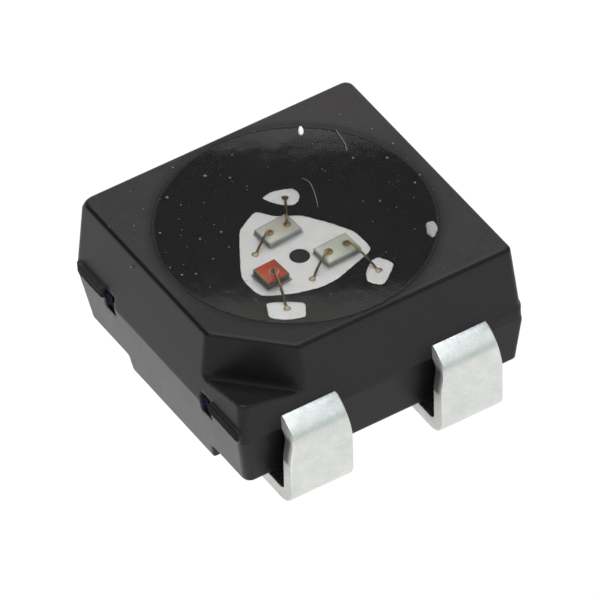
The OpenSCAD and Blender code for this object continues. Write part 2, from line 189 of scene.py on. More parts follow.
def chaikin(P, n=3):
    P = np.asarray(P, float)
    for _ in range(n):
        Q = np.roll(P, -1, axis=0)
        P = np.stack([0.82 * P + 0.18 * Q, 0.18 * P + 0.82 * Q], 1).reshape(-1, 2)
    return P


def grow(P, d):
    n = len(P)
    out = []
    for i in range(n):
        a, b, c = np.array(P[i - 1]), np.array(P[i]), np.array(P[(i + 1) % n])
        u, v = (b - a) / np.linalg.norm(b - a), (c - b) / np.linalg.norm(c - b)
        m = np.array([u[1] + v[1], -u[0] - v[0]])
        out.append(tuple(b - d * m / (1 + u @ v)))
    return out


def prism(name, P, z0, z1):
    n = len(P)
    area = sum(P[i - 1][0] * P[i][1] - P[i][0] * P[i - 1][1] for i in range(n))
    if area < 0:
        P = P[::-1]
    v = [(x, y, z0) for x, y in P] + [(x, y, z1) for x, y in P]
    f = [tuple(range(n - 1, -1, -1)), tuple(range(n, 2 * n))]
    f += [(i, (i + 1) % n, n + (i + 1) % n, n + i) for i in range(n)]
    return new_mesh(name, v, f, smooth=False, scale=1)


def turned(p, deg):
    a = math.radians(deg)
    return np.array([p[0] * math.cos(a) - p[1] * math.sin(a), p[0] * math.sin(a) + p[1] * math.cos(a)])


def on_chip(at, turn, p):
    return SHIFT + np.array(at) + turned(p, turn)


# ---------------------------------------------------------------- node helpers
class Mat:
    def __init__(self, name):
        self.m = bpy.data.materials.new(name)
        self.m.use_nodes = True
        self.nt = self.m.node_tree
        self.nt.nodes.clear()
        self.out = self.nt.nodes.new("ShaderNodeOutputMaterial")
        self.p = self.nt.nodes.new("ShaderNodeBsdfPrincipled")
        self.nt.links.new(self.p.outputs[0], self.out.inputs[0])
        self.co = self.nt.nodes.new("ShaderNodeTexCoord").outputs["Object"]

    def new(self, kind, **kw):
        n = self.nt.nodes.new(kind)
        for k, v in kw.items():
            setattr(n, k, v)
        return n

    def link(self, a, b):
        self.nt.links.new(a, b)

    def set(self, **kw):
        for k, v in kw.items():
            self.p.inputs[k.replace("_", " ")].default_value = v

    def vec(self, offset=(0, 0, 0), scale=(1, 1, 1), rot=(0, 0, 0)):
        n = self.new("ShaderNodeMapping")
        n.inputs["Location"].default_value = offset
        n.inputs["Scale"].default_value = scale
        n.inputs["Rotation"].default_value = rot
        self.link(self.co, n.inputs["Vector"])
        return n.outputs[0]

    def noise(self, size_mm, detail=3.0, rough=0.5, vec=None, distortion=0.0):
        n = self.new("ShaderNodeTexNoise")
        n.inputs["Scale"].default_value = 1 / (size_mm * MM)
        n.inputs["Detail"].default_value = detail
        n.inputs["Roughness"].default_value = rough
        n.inputs["Distortion"].default_value = distortion
        self.link(vec if vec is not None else self.co, n.inputs["Vector"])
        return n.outputs["Fac"]

    def voronoi(self, size_mm, feature="F1", rand=1.0):
        n = self.new("ShaderNodeTexVoronoi", feature=feature)
        n.inputs["Scale"].default_value = 1 / (size_mm * MM)
        n.inputs["Randomness"].default_value = rand
        self.link(self.co, n.inputs["Vector"])
        return n.outputs["Distance"]

    def ramp(self, fac, stops, interp="LINEAR"):
        n = self.new("ShaderNodeValToRGB")
        n.color_ramp.interpolation = interp
        e = n.color_ramp.elements
        while len(e) < len(stops):
            e.new(0.5)
        for el, (pos, col) in zip(e, stops):
            el.position = pos
            el.color = (*col, 1) if isinstance(col, tuple) else (col, col, col, 1)
        self.link(fac, n.inputs[0])
        return n.outputs[0]

    def span(self, fac, a, b, lo, hi, smooth=False):
        n = self.new("ShaderNodeMapRange", interpolation_type="SMOOTHSTEP" if smooth else "LINEAR")
        n.inputs["From Min"].default_value = a
        n.inputs["From Max"].default_value = b
        n.inputs["To Min"].default_value = lo
        n.inputs["To Max"].default_value = hi
        self.link(fac, n.inputs["Value"])
        return n.outputs[0]

    def mix(self, fac, a, b, mode="MIX"):
        n = self.new("ShaderNodeMix", data_type="RGBA", blend_type=mode)
        for sock, val in ((0, fac), (6, a), (7, b)):
            if isinstance(val, bpy.types.NodeSocket):
                self.link(val, n.inputs[sock])
            elif sock == 0:
                n.inputs[sock].default_value = val
            else:
                n.inputs[sock].default_value = (*val, 1)
        return n.outputs[2]

    def math(self, op, a, b=None):
        n = self.new("ShaderNodeMath", operation=op)
        for i, val in enumerate((a, b)):
            if isinstance(val, bpy.types.NodeSocket):
                self.link(val, n.inputs[i])
            elif val is not None:
                n.inputs[i].default_value = val
        return n.outputs[0]

    def near(self, point_mm, r0, r1):
        """1 within r0 of a point, 0 beyond r1 (millimetres)."""
        n = self.new("ShaderNodeVectorMath", operation="DISTANCE")
        self.link(self.co, n.inputs[0])
        n.inputs[1].default_value = [c * MM for c in point_mm]
        return self.span(n.outputs["Value"], r0 * MM, r1 * MM, 1, 0, True)

    def axis(self, i):
        n = self.new("ShaderNodeSeparateXYZ")
        self.link(self.co, n.inputs[0])
        return n.outputs[i]

    def bump(self, height, dist_mm, strength=1.0, normal=None):
        n = self.new("ShaderNodeBump")
        n.inputs["Strength"].default_value = strength
        n.inputs["Distance"].default_value = dist_mm * MM
        self.link(height, n.inputs["Height"])
        if normal is not None:
            self.link(normal, n.inputs["Normal"])
        return n.outputs[0]


def mat_moulding():
    m = Mat("black_moulding_mat")
    grain = m.noise(0.012, 4, 0.6)
    cloud = m.noise(0.35, 5, 0.65)
    mottle = m.noise(0.06, 4, 0.6)
    fleck = m.voronoi(0.075)
    z = m.axis(2)
    # the top face is a little paler than the walls, and mottled; the cut corner has a tone of its own
    wall = m.ramp(cloud, [(0.3, (0.0130, 0.0128, 0.0126)), (0.7, (0.0180, 0.0177, 0.0174))])
    top = m.ramp(cloud, [(0.3, (0.0235, 0.0220, 0.0220)), (0.7, (0.0310, 0.0290, 0.0290))])
    top = m.mix(m.span(mottle, 0.35, 0.70, 0, 0.40), top, (0.040, 0.0375, 0.037))
    # the top is painted lighter along the back rim, a painted sheen, and darker along the front, painted shade
    rear = m.math("SUBTRACT", m.math("MULTIPLY", m.axis(1), 0.527), m.math("MULTIPLY", m.axis(0), 0.85))
    top = m.mix(m.span(rear, 0.0010, 0.0015, 0, 0.75, True), top, (0.043, 0.0395, 0.0395))
    top = m.mix(m.span(rear, -0.0013, -0.0007, 0.8, 0, True), top, (0.0150, 0.0146, 0.0144))
    top = m.mix(m.near((CUP_X, 0, TOP), 1.35, 1.50), top, (0.0100, 0.0097, 0.0096))
    # painted shade: the +X wall is painted near black below the parting line
    front = m.mix(m.span(z, 0.00089, 0.00091, 0, 1, True), (0.0040, 0.0040, 0.0040), (0.0190, 0.0188, 0.0186))
    wall = m.mix(m.span(m.axis(0), 0.00136, 0.00140, 0, 0.85, True), wall, front)
    base = m.mix(m.span(z, 0.001774, 0.0017795, 0, 1, True), wall, top)
    # painted shade: a dark band along the rounded top edge
    edge = m.math("MULTIPLY", m.span(z, 0.001742, 0.001756, 0, 1, True), m.span(z, 0.001773, 0.001779, 1, 0, True))
    base = m.mix(m.math("MULTIPLY", edge, 0.8), base, (0.0030, 0.0031, 0.0033))
    base = m.mix(m.span(grain, 0.40, 0.75, 0, 0.25), base, m.mix(0.5, base, (0.09, 0.088, 0.086)))
    base = m.mix(m.span(fleck, 0.0, 0.075, 0.18, 0.0, True), base, (0.09, 0.088, 0.085))
    # painted shade: the cut corner gets its own tone, painted darker towards its floor
    cutting = m.span(m.math("SUBTRACT", m.axis(0), m.axis(1)), 0.002285, 0.002315, 0, 1, True)
    cutting = m.math("MULTIPLY", cutting, m.span(z, 0.00120, 0.00124, 0, 1, True))
    cut_tone = m.mix(m.span(z, 0.00127, 0.00133, 1, 0, True), (0.0150, 0.0150, 0.0152), (0.0215, 0.0215, 0.0213))
    base = m.mix(m.math("MULTIPLY", cutting, m.span(z, 0.001765, 0.001778, 0.85, 0, True)), base, cut_tone)
    # the parting ridge: a rough broken face under a narrow ledge, the ledge painted paler as painted light
    ay = m.math("ABSOLUTE", m.axis(1))
    ledge = m.math("MULTIPLY", m.span(z, 0.001026, 0.001032, 0, 1, True), m.span(z, 0.001050, 0.001056, 1, 0, True))
    ledge = m.math("MULTIPLY", ledge, m.span(ay, 0.001578, 0.001584, 0, 1, True))
    outer = m.span(m.math("ABSOLUTE", m.math("ADD", m.axis(0), 0.0000325)), 0.00091, 0.00093, 0, 1, True)
    ledge = m.math("MULTIPLY", ledge, outer)
    base = m.mix(ledge, base, (0.030, 0.029, 0.028))
    left = m.span(m.axis(0), -0.0006, -0.0004, 1, 0, True)
    # painted highlight on the ledge towards its left end
    corner = m.math("MULTIPLY", m.span(z, 0.001030, 0.001040, 0, 1, True), m.span(z, 0.001060, 0.001130, 1, 0, True))
    corner = m.math("MULTIPLY", m.math("MULTIPLY", corner, left), m.span(m.axis(1), -0.001578, -0.001570, 1, 0, True))
    corner = m.math("MULTIPLY", corner, outer)
    base = m.mix(m.math("MULTIPLY", corner, 0.8), base, (0.052, 0.050, 0.048))
    # the ridge face: paler on the left, and painted darker towards its foot as painted shade
    band = m.math("MULTIPLY", m.span(z, 0.000893, 0.000905, 0, 1, True), m.span(z, 0.001030, 0.001038, 1, 0, True))
    band = m.math("MULTIPLY", band, m.span(ay, 0.001606, 0.001612, 0, 1, True))
    face = m.mix(left, (0.0150, 0.0148, 0.0140), (0.0270, 0.0265, 0.0250))
    face = m.mix(m.span(z, 0.000935, 0.000975, 1, 0, True), face, (0.0070, 0.0069, 0.0067))
    base = m.mix(band, base, face)
    m.link(base, m.p.inputs["Base Color"])
    rough = m.span(cloud, 0.25, 0.75, 0.27, 0.34)
    m.link(m.math("MAXIMUM", rough, m.math("MULTIPLY", band, 0.85)), m.p.inputs["Roughness"])
    m.set(IOR=1.22)
    h = m.mix(0.35, grain, m.noise(0.05, 3, 0.5))
    m.link(m.bump(h, 0.0024, 0.6), m.p.inputs["Normal"])
    return m.m


def mat_lining():
    """The same moulding where the clear fill wets it: darker, with hardly any gloss of its own."""
    m = Mat("wetted_moulding_mat")
    grain = m.noise(0.045, 3, 0.5)
    cloud = m.noise(0.25, 4, 0.6)
    base = m.ramp(cloud, [(0.3, (0.0045, 0.0044, 0.0042)), (0.7, (0.0065, 0.0063, 0.0060))])
    m.link(base, m.p.inputs["Base Color"])
    m.link(m.span(cloud, 0.25, 0.75, 0.42, 0.55), m.p.inputs["Roughness"])
    m.set(IOR=1.01)
    m.link(m.bump(grain, 0.0010, 0.05), m.p.inputs["Normal"])
    return m.m


def mat_resin():
    m = Mat("clear_resin_mat")
    m.set(IOR=1.5, Base_Color=(0.99, 0.99, 0.985, 1), Transmission_Weight=1.0)
    w = m.noise(0.55, 3, 0.5)
    m.link(m.span(m.noise(0.2, 3, 0.6), 0.3, 0.7, 0.02, 0.07), m.p.inputs["Roughness"])
    m.link(m.bump(w, 0.003, 0.5), m.p.inputs["Normal"])
    return m.m


def mat_plating():
    m = Mat("plated_lead_mat")
    inside = m.near((0, 0, 1.05), 1.10, 1.16)      # bright flat sheet in the cup; dull tin on the leads outside
    flake = m.new("ShaderNodeTexVoronoi", feature="F1")
    flake.inputs["Scale"].default_value = 1 / (0.030 * MM)
    m.link(m.co, flake.inputs["Vector"])
    cell = m.new("ShaderNodeSeparateColor")
    m.link(flake.outputs["Color"], cell.inputs[0])
    grain = m.noise(0.012, 4, 0.65)
    cloud = m.noise(0.16, 4, 0.6)
    streak = m.noise(0.03, 3, 0.6, m.vec(scale=(0.22, 1.0, 0.22)))
    tin = m.ramp(cloud, [(0.3, (0.64, 0.652, 0.625)), (0.7, (0.735, 0.748, 0.72))])
    tin = m.mix(m.span(cell.outputs[0], 0.0, 1.0, 0.0, 0.22), tin, (0.56, 0.575, 0.58))
    pit = m.span(m.voronoi(0.060), 0.0, 0.12, 0.45, 0.0, True)
    tin = m.mix(pit, tin, (0.48, 0.475, 0.46))
    bright = m.ramp(cloud, [(0.3, (0.89, 0.895, 0.885)), (0.7, (0.95, 0.95, 0.94))])
    m.set(Metallic=1.0)
    dull = m.span(cell.outputs[1], 0.0, 1.0, 0.22, 0.34)
    n = m.new("ShaderNodeMix", data_type="FLOAT")
    m.link(inside, n.inputs[0])
    m.link(dull, n.inputs[2])
    n.inputs[3].default_value = 0.58
    nrm = m.new("ShaderNodeTexCoord")
    part = m.new("ShaderNodeSeparateXYZ")
    m.link(nrm.outputs["Normal"], part.inputs[0])
    sheared = m.span(m.math("ABSOLUTE", part.outputs[1]), 0.80, 0.95, 0, 1, True)
    m.link(m.mix(sheared, n.outputs[0], (0.66, 0.66, 0.66)), m.p.inputs["Roughness"])
    # painted shade: the sheared side is painted dark over the stretch below the upper bend, on its inner half
    painted_side_shade = m.math("MULTIPLY", m.span(m.axis(2), 0.00053, 0.00058, 0, 1, True), m.span(m.axis(2), 0.00081, 0.00089, 1, 0, True))
    painted_side_shade = m.math("MULTIPLY", painted_side_shade, m.span(m.math("ABSOLUTE", m.axis(0)), 0.001625, 0.001685, 0.95, 0.10, True))
    painted_side_shade = m.math("MULTIPLY", painted_side_shade, sheared)
    m.link(m.mix(painted_side_shade, m.mix(inside, tin, bright), (0.185, 0.182, 0.185)), m.p.inputs["Base Color"])
    h = m.mix(0.5, m.mix(0.45, grain, streak), cell.outputs[2])
    m.link(m.bump(h, 0.0022, 0.6), m.p.inputs["Normal"])
    return m.m


def mat_cut_metal():
    m = Mat("bare_sheet_metal_mat")
    streak = m.noise(0.012, 3, 0.6, m.vec(scale=(1.0, 1.0, 0.15)))
    col = m.ramp(streak, [(0.3, (0.014, 0.018, 0.032)), (0.7, (0.036, 0.042, 0.068))])
    m.link(col, m.p.inputs["Base Color"])
    m.set(Metallic=1.0)
    m.set(Specular_Tint=(0.10, 0.12, 0.18, 1))
    m.link(m.span(streak, 0.3, 0.7, 0.45, 0.62), m.p.inputs["Roughness"])
    m.link(m.bump(streak, 0.002, 0.8), m.p.inputs["Normal"])
    return m.m


def chip_coords(m, at, turn):
    """The chip's own x and y in millimetres."""
    c = SHIFT + np.array(at)
    a = math.radians(-turn)
    n = m.new("ShaderNodeVectorMath", operation="SUBTRACT")
    m.link(m.co, n.inputs[0])
    n.inputs[1].default_value = (c[0] * MM, c[1] * MM, 0)
    r = m.new("ShaderNodeMapping")
    r.inputs["Rotation"].default_value = (0, 0, a)
    r.inputs["Scale"].default_value = (1000, 1000, 1000)
    m.link(n.outputs[0], r.inputs["Vector"])
    s = m.new("ShaderNodeSeparateXYZ")
    m.link(r.outputs[0], s.inputs[0])
    return s.outputs


def mat_pale_chip(name, at, turn, tint, end_tint):
    m = Mat(name)
    x, y, z = chip_coords(m, at, turn)
    fine = m.noise(0.02, 3, 0.6)
    col = m.ramp(fine, [(0.3, tuple(c * 0.92 for c in tint)), (0.7, tint)])
    # one end is tinted; a thin dark line of painted shade runs along the foot of the sawn sides
    col = m.mix(m.span(y, 0.02, 0.17, 0, 0.75, True), col, end_tint)
    zz = SHEET_Z + ATTACH_T
    side = m.span(z, zz + 0.010, zz + 0.034, 0.80, 0, True)
    col = m.mix(side, col, (0.14, 0.15, 0.15))
    # thin grey edge round the top
    ex = m.span(m.math("ABSOLUTE", x), LONG_W / 2 - 0.018, LONG_W / 2 - 0.008, 0, 1, True)
    ey = m.span(m.math("ABSOLUTE", y), LONG_L / 2 - 0.018, LONG_L / 2 - 0.008, 0, 1, True)
    col = m.mix(m.math("MULTIPLY", m.math("MAXIMUM", ex, ey), 0.45), col, (0.27, 0.30, 0.28))
    m.link(col, m.p.inputs["Base Color"])
    m.set(IOR=1.7, Roughness=0.22)
    m.p.inputs["Subsurface Weight"].default_value = 0.0
    m.link(m.bump(fine, 0.0008, 0.6), m.p.inputs["Normal"])
    return m.m


def mat_red_chip():
    m = Mat("red_chip_mat")
    x, y, z = chip_coords(m, RED_AT, RED_TURN)
    fine = m.noise(0.018, 3, 0.6)
    top = m.ramp(fine, [(0.3, (0.70, 0.055, 0.016)), (0.7, (0.92, 0.10, 0.028))])
    zz = SHEET_Z + ATTACH_T + RED_H
    col = m.mix(m.span(z, zz - 0.022, zz - 0.012, 1, 0), top, (0.33, 0.27, 0.10))
    col = m.mix(m.span(z, zz - 0.055, zz - 0.035, 1, 0), col, (0.045, 0.05, 0.035))
    ex = m.span(m.math("ABSOLUTE", x), RED_S / 2 - 0.02, RED_S / 2 - 0.006, 0, 1, True)
    ey = m.span(m.math("ABSOLUTE", y), RED_S / 2 - 0.02, RED_S / 2 - 0.006, 0, 1, True)
    col = m.mix(m.math("MULTIPLY", m.math("MAXIMUM", ex, ey), 0.35), col, (0.30, 0.12, 0.05))
    col = m.mix(m.span(y, RED_S / 2 - 0.075, RED_S / 2 - 0.01, 0, 0.65, True), col, (0.30, 0.14, 0.06))
    line = m.math("MULTIPLY", m.span(y, -RED_S / 2 + 0.012, -RED_S / 2 + 0.026, 1, 0, True), m.span(z, zz - 0.030, zz - 0.018, 0, 1, True))
    col = m.mix(m.math("MULTIPLY", line, 0.85), col, (0.56, 0.42, 0.13))
    low = m.math("MULTIPLY", m.span(y, -RED_S / 2 + 0.002, -RED_S / 2 + 0.010, 1, 0, True), m.span(z, zz - 0.050, zz - 0.030, 1, 0, True))
    col = m.mix(low, col, (0.022, 0.028, 0.014))
    m.link(col, m.p.inputs["Base Color"])
    m.set(IOR=1.38, Roughness=0.30)
    m.link(m.bump(fine, 0.0008, 0.6), m.p.inputs["Normal"])
    return m.m


def mat_gold(name, rough, dark, a=(0.80, 0.58, 0.28), metal=1.0):
    m = Mat(name)
    fine = m.noise(0.012, 3, 0.6)
    col = m.ramp(fine, [(0.3, tuple(c * dark for c in a)), (0.7, a)])
    # the stitches, pressed flat on the sheet, are duller and browner
    col = m.mix(m.span(m.axis(2), (SHEET_Z + 0.012) * MM, (SHEET_Z + 0.026) * MM, 1, 0, True), col, (0.31, 0.25, 0.165))
    m.link(col, m.p.inputs["Base Color"])
    m.set(Metallic=metal)
    m.link(m.span(fine, 0.3, 0.7, rough, rough + 0.12), m.p.inputs["Roughness"])
    m.link(m.bump(fine, 0.0008, 0.7), m.p.inputs["Normal"])
    return m.m


def mat_adhesive(name, a, b, rough):
    m = Mat(name)
    fine = m.noise(0.015, 4, 0.6)
    m.link(m.ramp(fine, [(0.35, a), (0.65, b)]), m.p.inputs["Base Color"])
    m.link(m.span(fine, 0.3, 0.7, rough, rough + 0.15), m.p.inputs["Roughness"])
    m.set(IOR=1.5)
    m.link(m.bump(fine, 0.002, 0.8), m.p.inputs["Normal"])
    return m.m


def mat_dust(name="dust_mat", dark=(0.11, 0.11, 0.107), light=(0.26, 0.257, 0.253)):
    m = Mat(name)
    fine = m.noise(0.012, 3, 0.6)
    m.link(m.ramp(fine, [(0.3, dark), (0.7, light)]), m.p.inputs["Base Color"])
    m.set(Roughness=0.85, IOR=1.45)
    m.link(m.bump(fine, 0.002, 0.8), m.p.inputs["Normal"])
    return m.m


# ---------------------------------------------------------------- housing: a distance field, meshed and laid back on the field
def rmax(a, b, r):
    return np.minimum(np.maximum(a, b), -r) + np.hypot(np.maximum(a + r, 0), np.maximum(b + r, 0))


def rmin(a, b, r):
    return np.maximum(np.minimum(a, b), r) - np.hypot(np.maximum(r - a, 0), np.maximum(r - b, 0))


def rect2(x, y, hx, hy, r):
    qx, qy = np.abs(x) - (hx - r), np.abs(y) - (hy - r)
    return np.hypot(np.maximum(qx, 0), np.maximum(qy, 0)) + np.minimum(np.maximum(qx, qy), 0) - r


def box4(x, y, x0, x1, y0, y1, r):
    """Distance to an upright rounded rectangle whose sides may change with height."""
    return rect2(x - (x0 + x1) / 2, y - (y0 + y1) / 2, (x1 - x0) / 2, (y1 - y0) / 2, r)


def housing_field(x, y, z):
    # two drafts; the -X and +Y sides stand further out than their opposites
    t = (z - PART) / (TOP - 0.03 - PART)
    s = (PART - z) / (PART - BASE - 0.02)
    near = np.clip((-x - y - 2.2) / 0.6, 0, 1)
    away = np.clip((x + y - 2.2) / 0.6, 0, 1)
    high = np.clip((z - 1.70) / 0.07, 0, 1)
    upper = box4(x, y, -1.505 + 0.034 * t, 1.49 - DUP * t, -1.60 + DUP * t, 1.625 - 0.072 * t, 0.095 + near * (0.070 * high - 0.040) - 0.035 * away)
    lower = box4(x, y, -1.505 + DDOWN * s, 1.49 - 0.088 * np.minimum(s, 1) - DDOWN * np.maximum(s - 1, 0), -1.60 + DDOWN * s,
                 1.631 - 0.034 * s, 0.09 - 0.038 * near - 0.055 * away)
    d = np.maximum(upper, lower)
    d = rmax(d, z - TOP, 0.038)
    # underside, with the standoff that runs across it between the feet of the leads
    stand = rmax(np.abs(x - STAND_DX) - STAND_X / 2 - 0.09 * (z - 0.20), STAND_Z - z, 0.030)
    d = rmax(d, rmin(BASE - z, stand, 0.022), 0.022)
    ay = np.abs(y)
    # ridge along the parting line, from the notches to the corners: a narrow ledge and an upright face, broken off rough below
    end = np.where(y > 0, WALL_X - 0.004, WALL_X - 0.036)
    rx = np.minimum(np.maximum(-WALL_X + 0.030 - x, x - (STUBS[0] - 0.05)), np.maximum(STUBS[1] + 0.05 - x, x - end))
    ragged = 0.004 * np.sin(23 * x + 1.3) * np.sin(41 * x) + 0.003 * np.sin(67 * x + 90 * z)
    face = np.where(y > 0, 1.643, np.where(x < 0, 1.637, 1.622)) - np.clip((0.975 - z) / 0.075, 0, 1) * (0.004 + 0.5 * ragged)
    face = face - 0.040 * np.clip((np.abs(x) - 1.34) / 0.15, 0, 1) ** 2 * np.where((y > 0) | (x < 0), 1.0, 0.0)
    ridge = rmax(ay - face, rmax(z - np.where(x < 0, 1.041, 1.034), SHEET_B - 0.006 - z + 0.4 * ragged, 0.006), 0.010)
    ridge = rmax(ridge, rx, 0.040)
    ridge = np.maximum(ridge, 1.3 - ay)
    d = rmin(d, ridge, 0.006)
    # corner cut
    tx, ty, leg, dep, rise = BX / 2 - DUP, BY / 2 - DUP, 0.65, 0.545, 0.115
    s = ((x - (tx - leg / 2)) - (y + (ty - leg / 2))) / math.sqrt(2)
    wall = 0.022 * (TOP - z) / dep - s
    fl = (TOP - dep + rise * (s - 0.10) / 0.36 - z) * 0.95
    cut = rmax(wall, fl, 0.06)
    d = rmax(d, -cut, 0.018)
    # cup, down to just under the plate's face; the cup's own lining closes it
    r = np.hypot(x - CUP_X, y)
    cup = np.maximum((r - CUP_F - 0.012 - SLOPE * (z - FLOOR_Z)) / math.hypot(1, SLOPE), 1.052 - z)
    d = rmax(d, -cup, 0.003)
    # notches at the tie bars
    for xc in STUBS:
        box = np.maximum(np.maximum(np.abs(x - xc - 0.01) - 0.0825, 1.545 - ay), np.abs(z - 0.905) - 0.118)
        d = rmax(d, -box, 0.014)
    return d


def surface_nets(f, lo, hi, h):
    lo = np.asarray(lo, float)
    n = np.ceil((np.asarray(hi) - lo) / h).astype(int) + 1
    ax = [lo[i] + h * np.arange(n[i]) for i in range(3)]
    X, Y, Z = np.meshgrid(*ax, indexing="ij")
    V = f(X, Y, Z)
    S = V < 0
    cnt = np.zeros(tuple(n - 1), np.int8)
    for a in (0, 1):
        for b in (0, 1):
            for c in (0, 1):
                cnt += S[a:n[0] - 1 + a, b:n[1] - 1 + b, c:n[2] - 1 + c]
    mixed = (cnt > 0) & (cnt < 8)
    ijk = np.argwhere(mixed)
    idx = -np.ones(mixed.shape, np.int64)
    idx[mixed] = np.arange(len(ijk))
    acc, num = np.zeros((len(ijk), 3)), np.zeros(len(ijk))
    corners = [(a, b, c) for a in (0, 1) for b in (0, 1) for c in (0, 1)]
    for p in corners:
        for ax_i in range(3):
            if p[ax_i] == 0:
                q = list(p)
                q[ax_i] = 1
                va = V[ijk[:, 0] + p[0], ijk[:, 1] + p[1], ijk[:, 2] + p[2]]
                vb = V[ijk[:, 0] + q[0], ijk[:, 1] + q[1], ijk[:, 2] + q[2]]
                hit = (va < 0) != (vb < 0)
                t = np.where(hit, va / np.where(hit, va - vb, 1), 0)
                pt = np.array(p, float)[None] + t[:, None] * (np.array(q) - np.array(p))[None]
                acc += np.where(hit[:, None], pt, 0)
                num += hit
    verts = lo + h * (ijk + acc / num[:, None])
    quads = []
    for a in range(3):
        b, c = (a + 1) % 3, (a + 2) % 3
        s0 = [slice(None)] * 3
        s1 = [slice(None)] * 3
        s0[a], s1[a] = slice(0, n[a] - 1), slice(1, n[a])
        for k in (b, c):
            s0[k] = s1[k] = slice(1, n[k] - 1)
        A, B = S[tuple(s0)], S[tuple(s1)]
        e = np.argwhere(A != B)
        sign = A[tuple(e.T)]
        base = e.copy()
        base[:, b] += 1
        base[:, c] += 1

        def cell(db, dc):
            g = base.copy()
            g[:, b] += db
            g[:, c] += dc
            return idx[g[:, 0], g[:, 1], g[:, 2]]

        q = np.stack([cell(-1, -1), cell(0, -1), cell(0, 0), cell(-1, 0)], 1)
        q = np.where(sign[:, None], q, q[:, ::-1])
        quads.append(q)
    return verts, np.concatenate(quads)


def onto_field(f, v, steps=4, eps=2e-3):
    for _ in range(steps):
        d = f(v[:, 0], v[:, 1], v[:, 2])
        g = np.stack([(f(v[:, 0] + e[0], v[:, 1] + e[1], v[:, 2] + e[2]) - f(v[:, 0] - e[0], v[:, 1] - e[1], v[:, 2] - e[2])) / (2 * eps)
                      for e in np.eye(3) * eps], 1)
        g2 = np.maximum((g * g).sum(1), 0.2)
        step = -d[:, None] * g / g2[:, None]
        v = v + np.clip(step, -0.01, 0.01)
    return v


GRID = 0.0225
hv, hq = surface_nets(housing_field, (-1.56, -1.68, 0.030), (1.55, 1.70, 1.83), GRID)
hv = onto_field(housing_field, hv)
body = quads_mesh("housing_body", hv, hq)


def turned_ring(name, prof, n=256):
    """Closed profile turned round the cup's axis."""
    m = len(prof)
    v = [(CUP_X + r * math.cos(2 * math.pi * k / n), r * math.sin(2 * math.pi * k / n), z) for k in range(n) for r, z in prof]
    f = [(j * m + i, ((j + 1) % n) * m + i, ((j + 1) % n) * m + (i + 1) % m, j * m + (i + 1) % m) for j in range(n) for i in range(m)]
    ob = new_mesh(name, v, f)
    bm = bmesh.new()
    bm.from_mesh(ob.data)
    bmesh.ops.recalc_face_normals(bm, faces=bm.faces)
    bm.to_mesh(ob.data)
    bm.free()
    return ob


def cup_r(z):
    return CUP_F + SLOPE * (z - FLOOR_Z)


# crisp rim of the cup, and the lining of its sloped wall below
LIP, UPTO = 0.003, TOP - 0.012
prof = [(cup_r(UPTO), UPTO), (cup_r(TOP - LIP), TOP - LIP)]
for q in (25, 50, 75, 90):
    q = math.radians(q)
    prof.append((cup_r(TOP - LIP) + 0.0008 + LIP * (1 - math.cos(q)), TOP + 0.0004 - LIP * (1 - math.sin(q))))
prof += [(cup_r(TOP) + 0.019, TOP + 0.0004), (cup_r(TOP) + 0.020, TOP - 0.003), (cup_r(UPTO) + 0.020, UPTO)]
rim = turned_ring("rim_ring", prof)
prof = [(cup_r(z), z) for z in np.linspace(FLOOR_Z - 0.004, UPTO, 14)]
prof += [(cup_r(UPTO) + 0.018, UPTO), (CUP_F + 0.024, FLOOR_Z - 0.02), (CUP_F - 0.01, FLOOR_Z - 0.02)]
lining = turned_ring("lining_ring", prof)
housing = join([body, rim], "moulded_housing")
housing.data.polygons.foreach_set("use_smooth", [True] * len(housing.data.polygons))
housing.data.set_sharp_from_angle(angle=math.radians(50))

# skin of the cup floor, with the bare areas left open
curve = bpy.data.curves.new("skin", "CURVE")
curve.dimensions = "2D"
curve.fill_mode = "BOTH"
outlines = [[(CUP_X + 0.992 * math.cos(2 * math.pi * i / 180), 0.992 * math.sin(2 * math.pi * i / 180)) for i in range(180)]]
for k, W in enumerate((WIN_CENTRE, WIN_BLUE, WIN_GREEN, WIN_RED)):
    P = chaikin(np.array(W) + SHIFT, 3)
    ang = np.arange(len(P))
    wob = 0.0022 * (np.sin(ang * 1.7 + k) + 0.7 * np.sin(ang * 0.61 + 2 * k))
    c = P.mean(0)
    P = P + (P - c) / np.linalg.norm(P - c, axis=1)[:, None] * wob[:, None]
    outlines.append(P.tolist())
for O in outlines:
    sp = curve.splines.new("POLY")
    sp.points.add(len(O) - 1)
    for pt, (x, y) in zip(sp.points, O):
        pt.co = (x, y, 0, 1)
    sp.use_cyclic_u = True
curve.extrude = 0.0105
curve.bevel_depth = 0.0045
curve.bevel_resolution = 2
curve.offset = -0.0045
skin = bpy.data.objects.new("skin", curve)
bpy.context.scene.collection.objects.link(skin)
apply_me = bpy.data.meshes.new_from_object(skin.evaluated_get(bpy.context.evaluated_depsgraph_get()))
bpy.data.objects.remove(skin)
skin = bpy.data.objects.new("skin_mesh", apply_me)
bpy.context.scene.collection.objects.link(skin)
apply_me.transform(mathutils.Matrix.Translation((0, 0, FLOOR_Z - 0.015)))
apply_me.transform(mathutils.Matrix.Scale(MM, 4))
bm = bmesh.new()
bm.from_mesh(apply_me)
bmesh.ops.remove_doubles(bm, verts=bm.verts, dist=1e-8)
bmesh.ops.recalc_face_normals(bm, faces=bm.faces)
bm.to_mesh(apply_me)
bm.free()
cup_lining = join([lining, skin], "cup_lining")
cup_lining.data.polygons.foreach_set("use_smooth", [True] * len(cup_lining.data.polygons))
cup_lining.data.set_sharp_from_angle(angle=math.radians(40))

# ---------------------------------------------------------------- leads


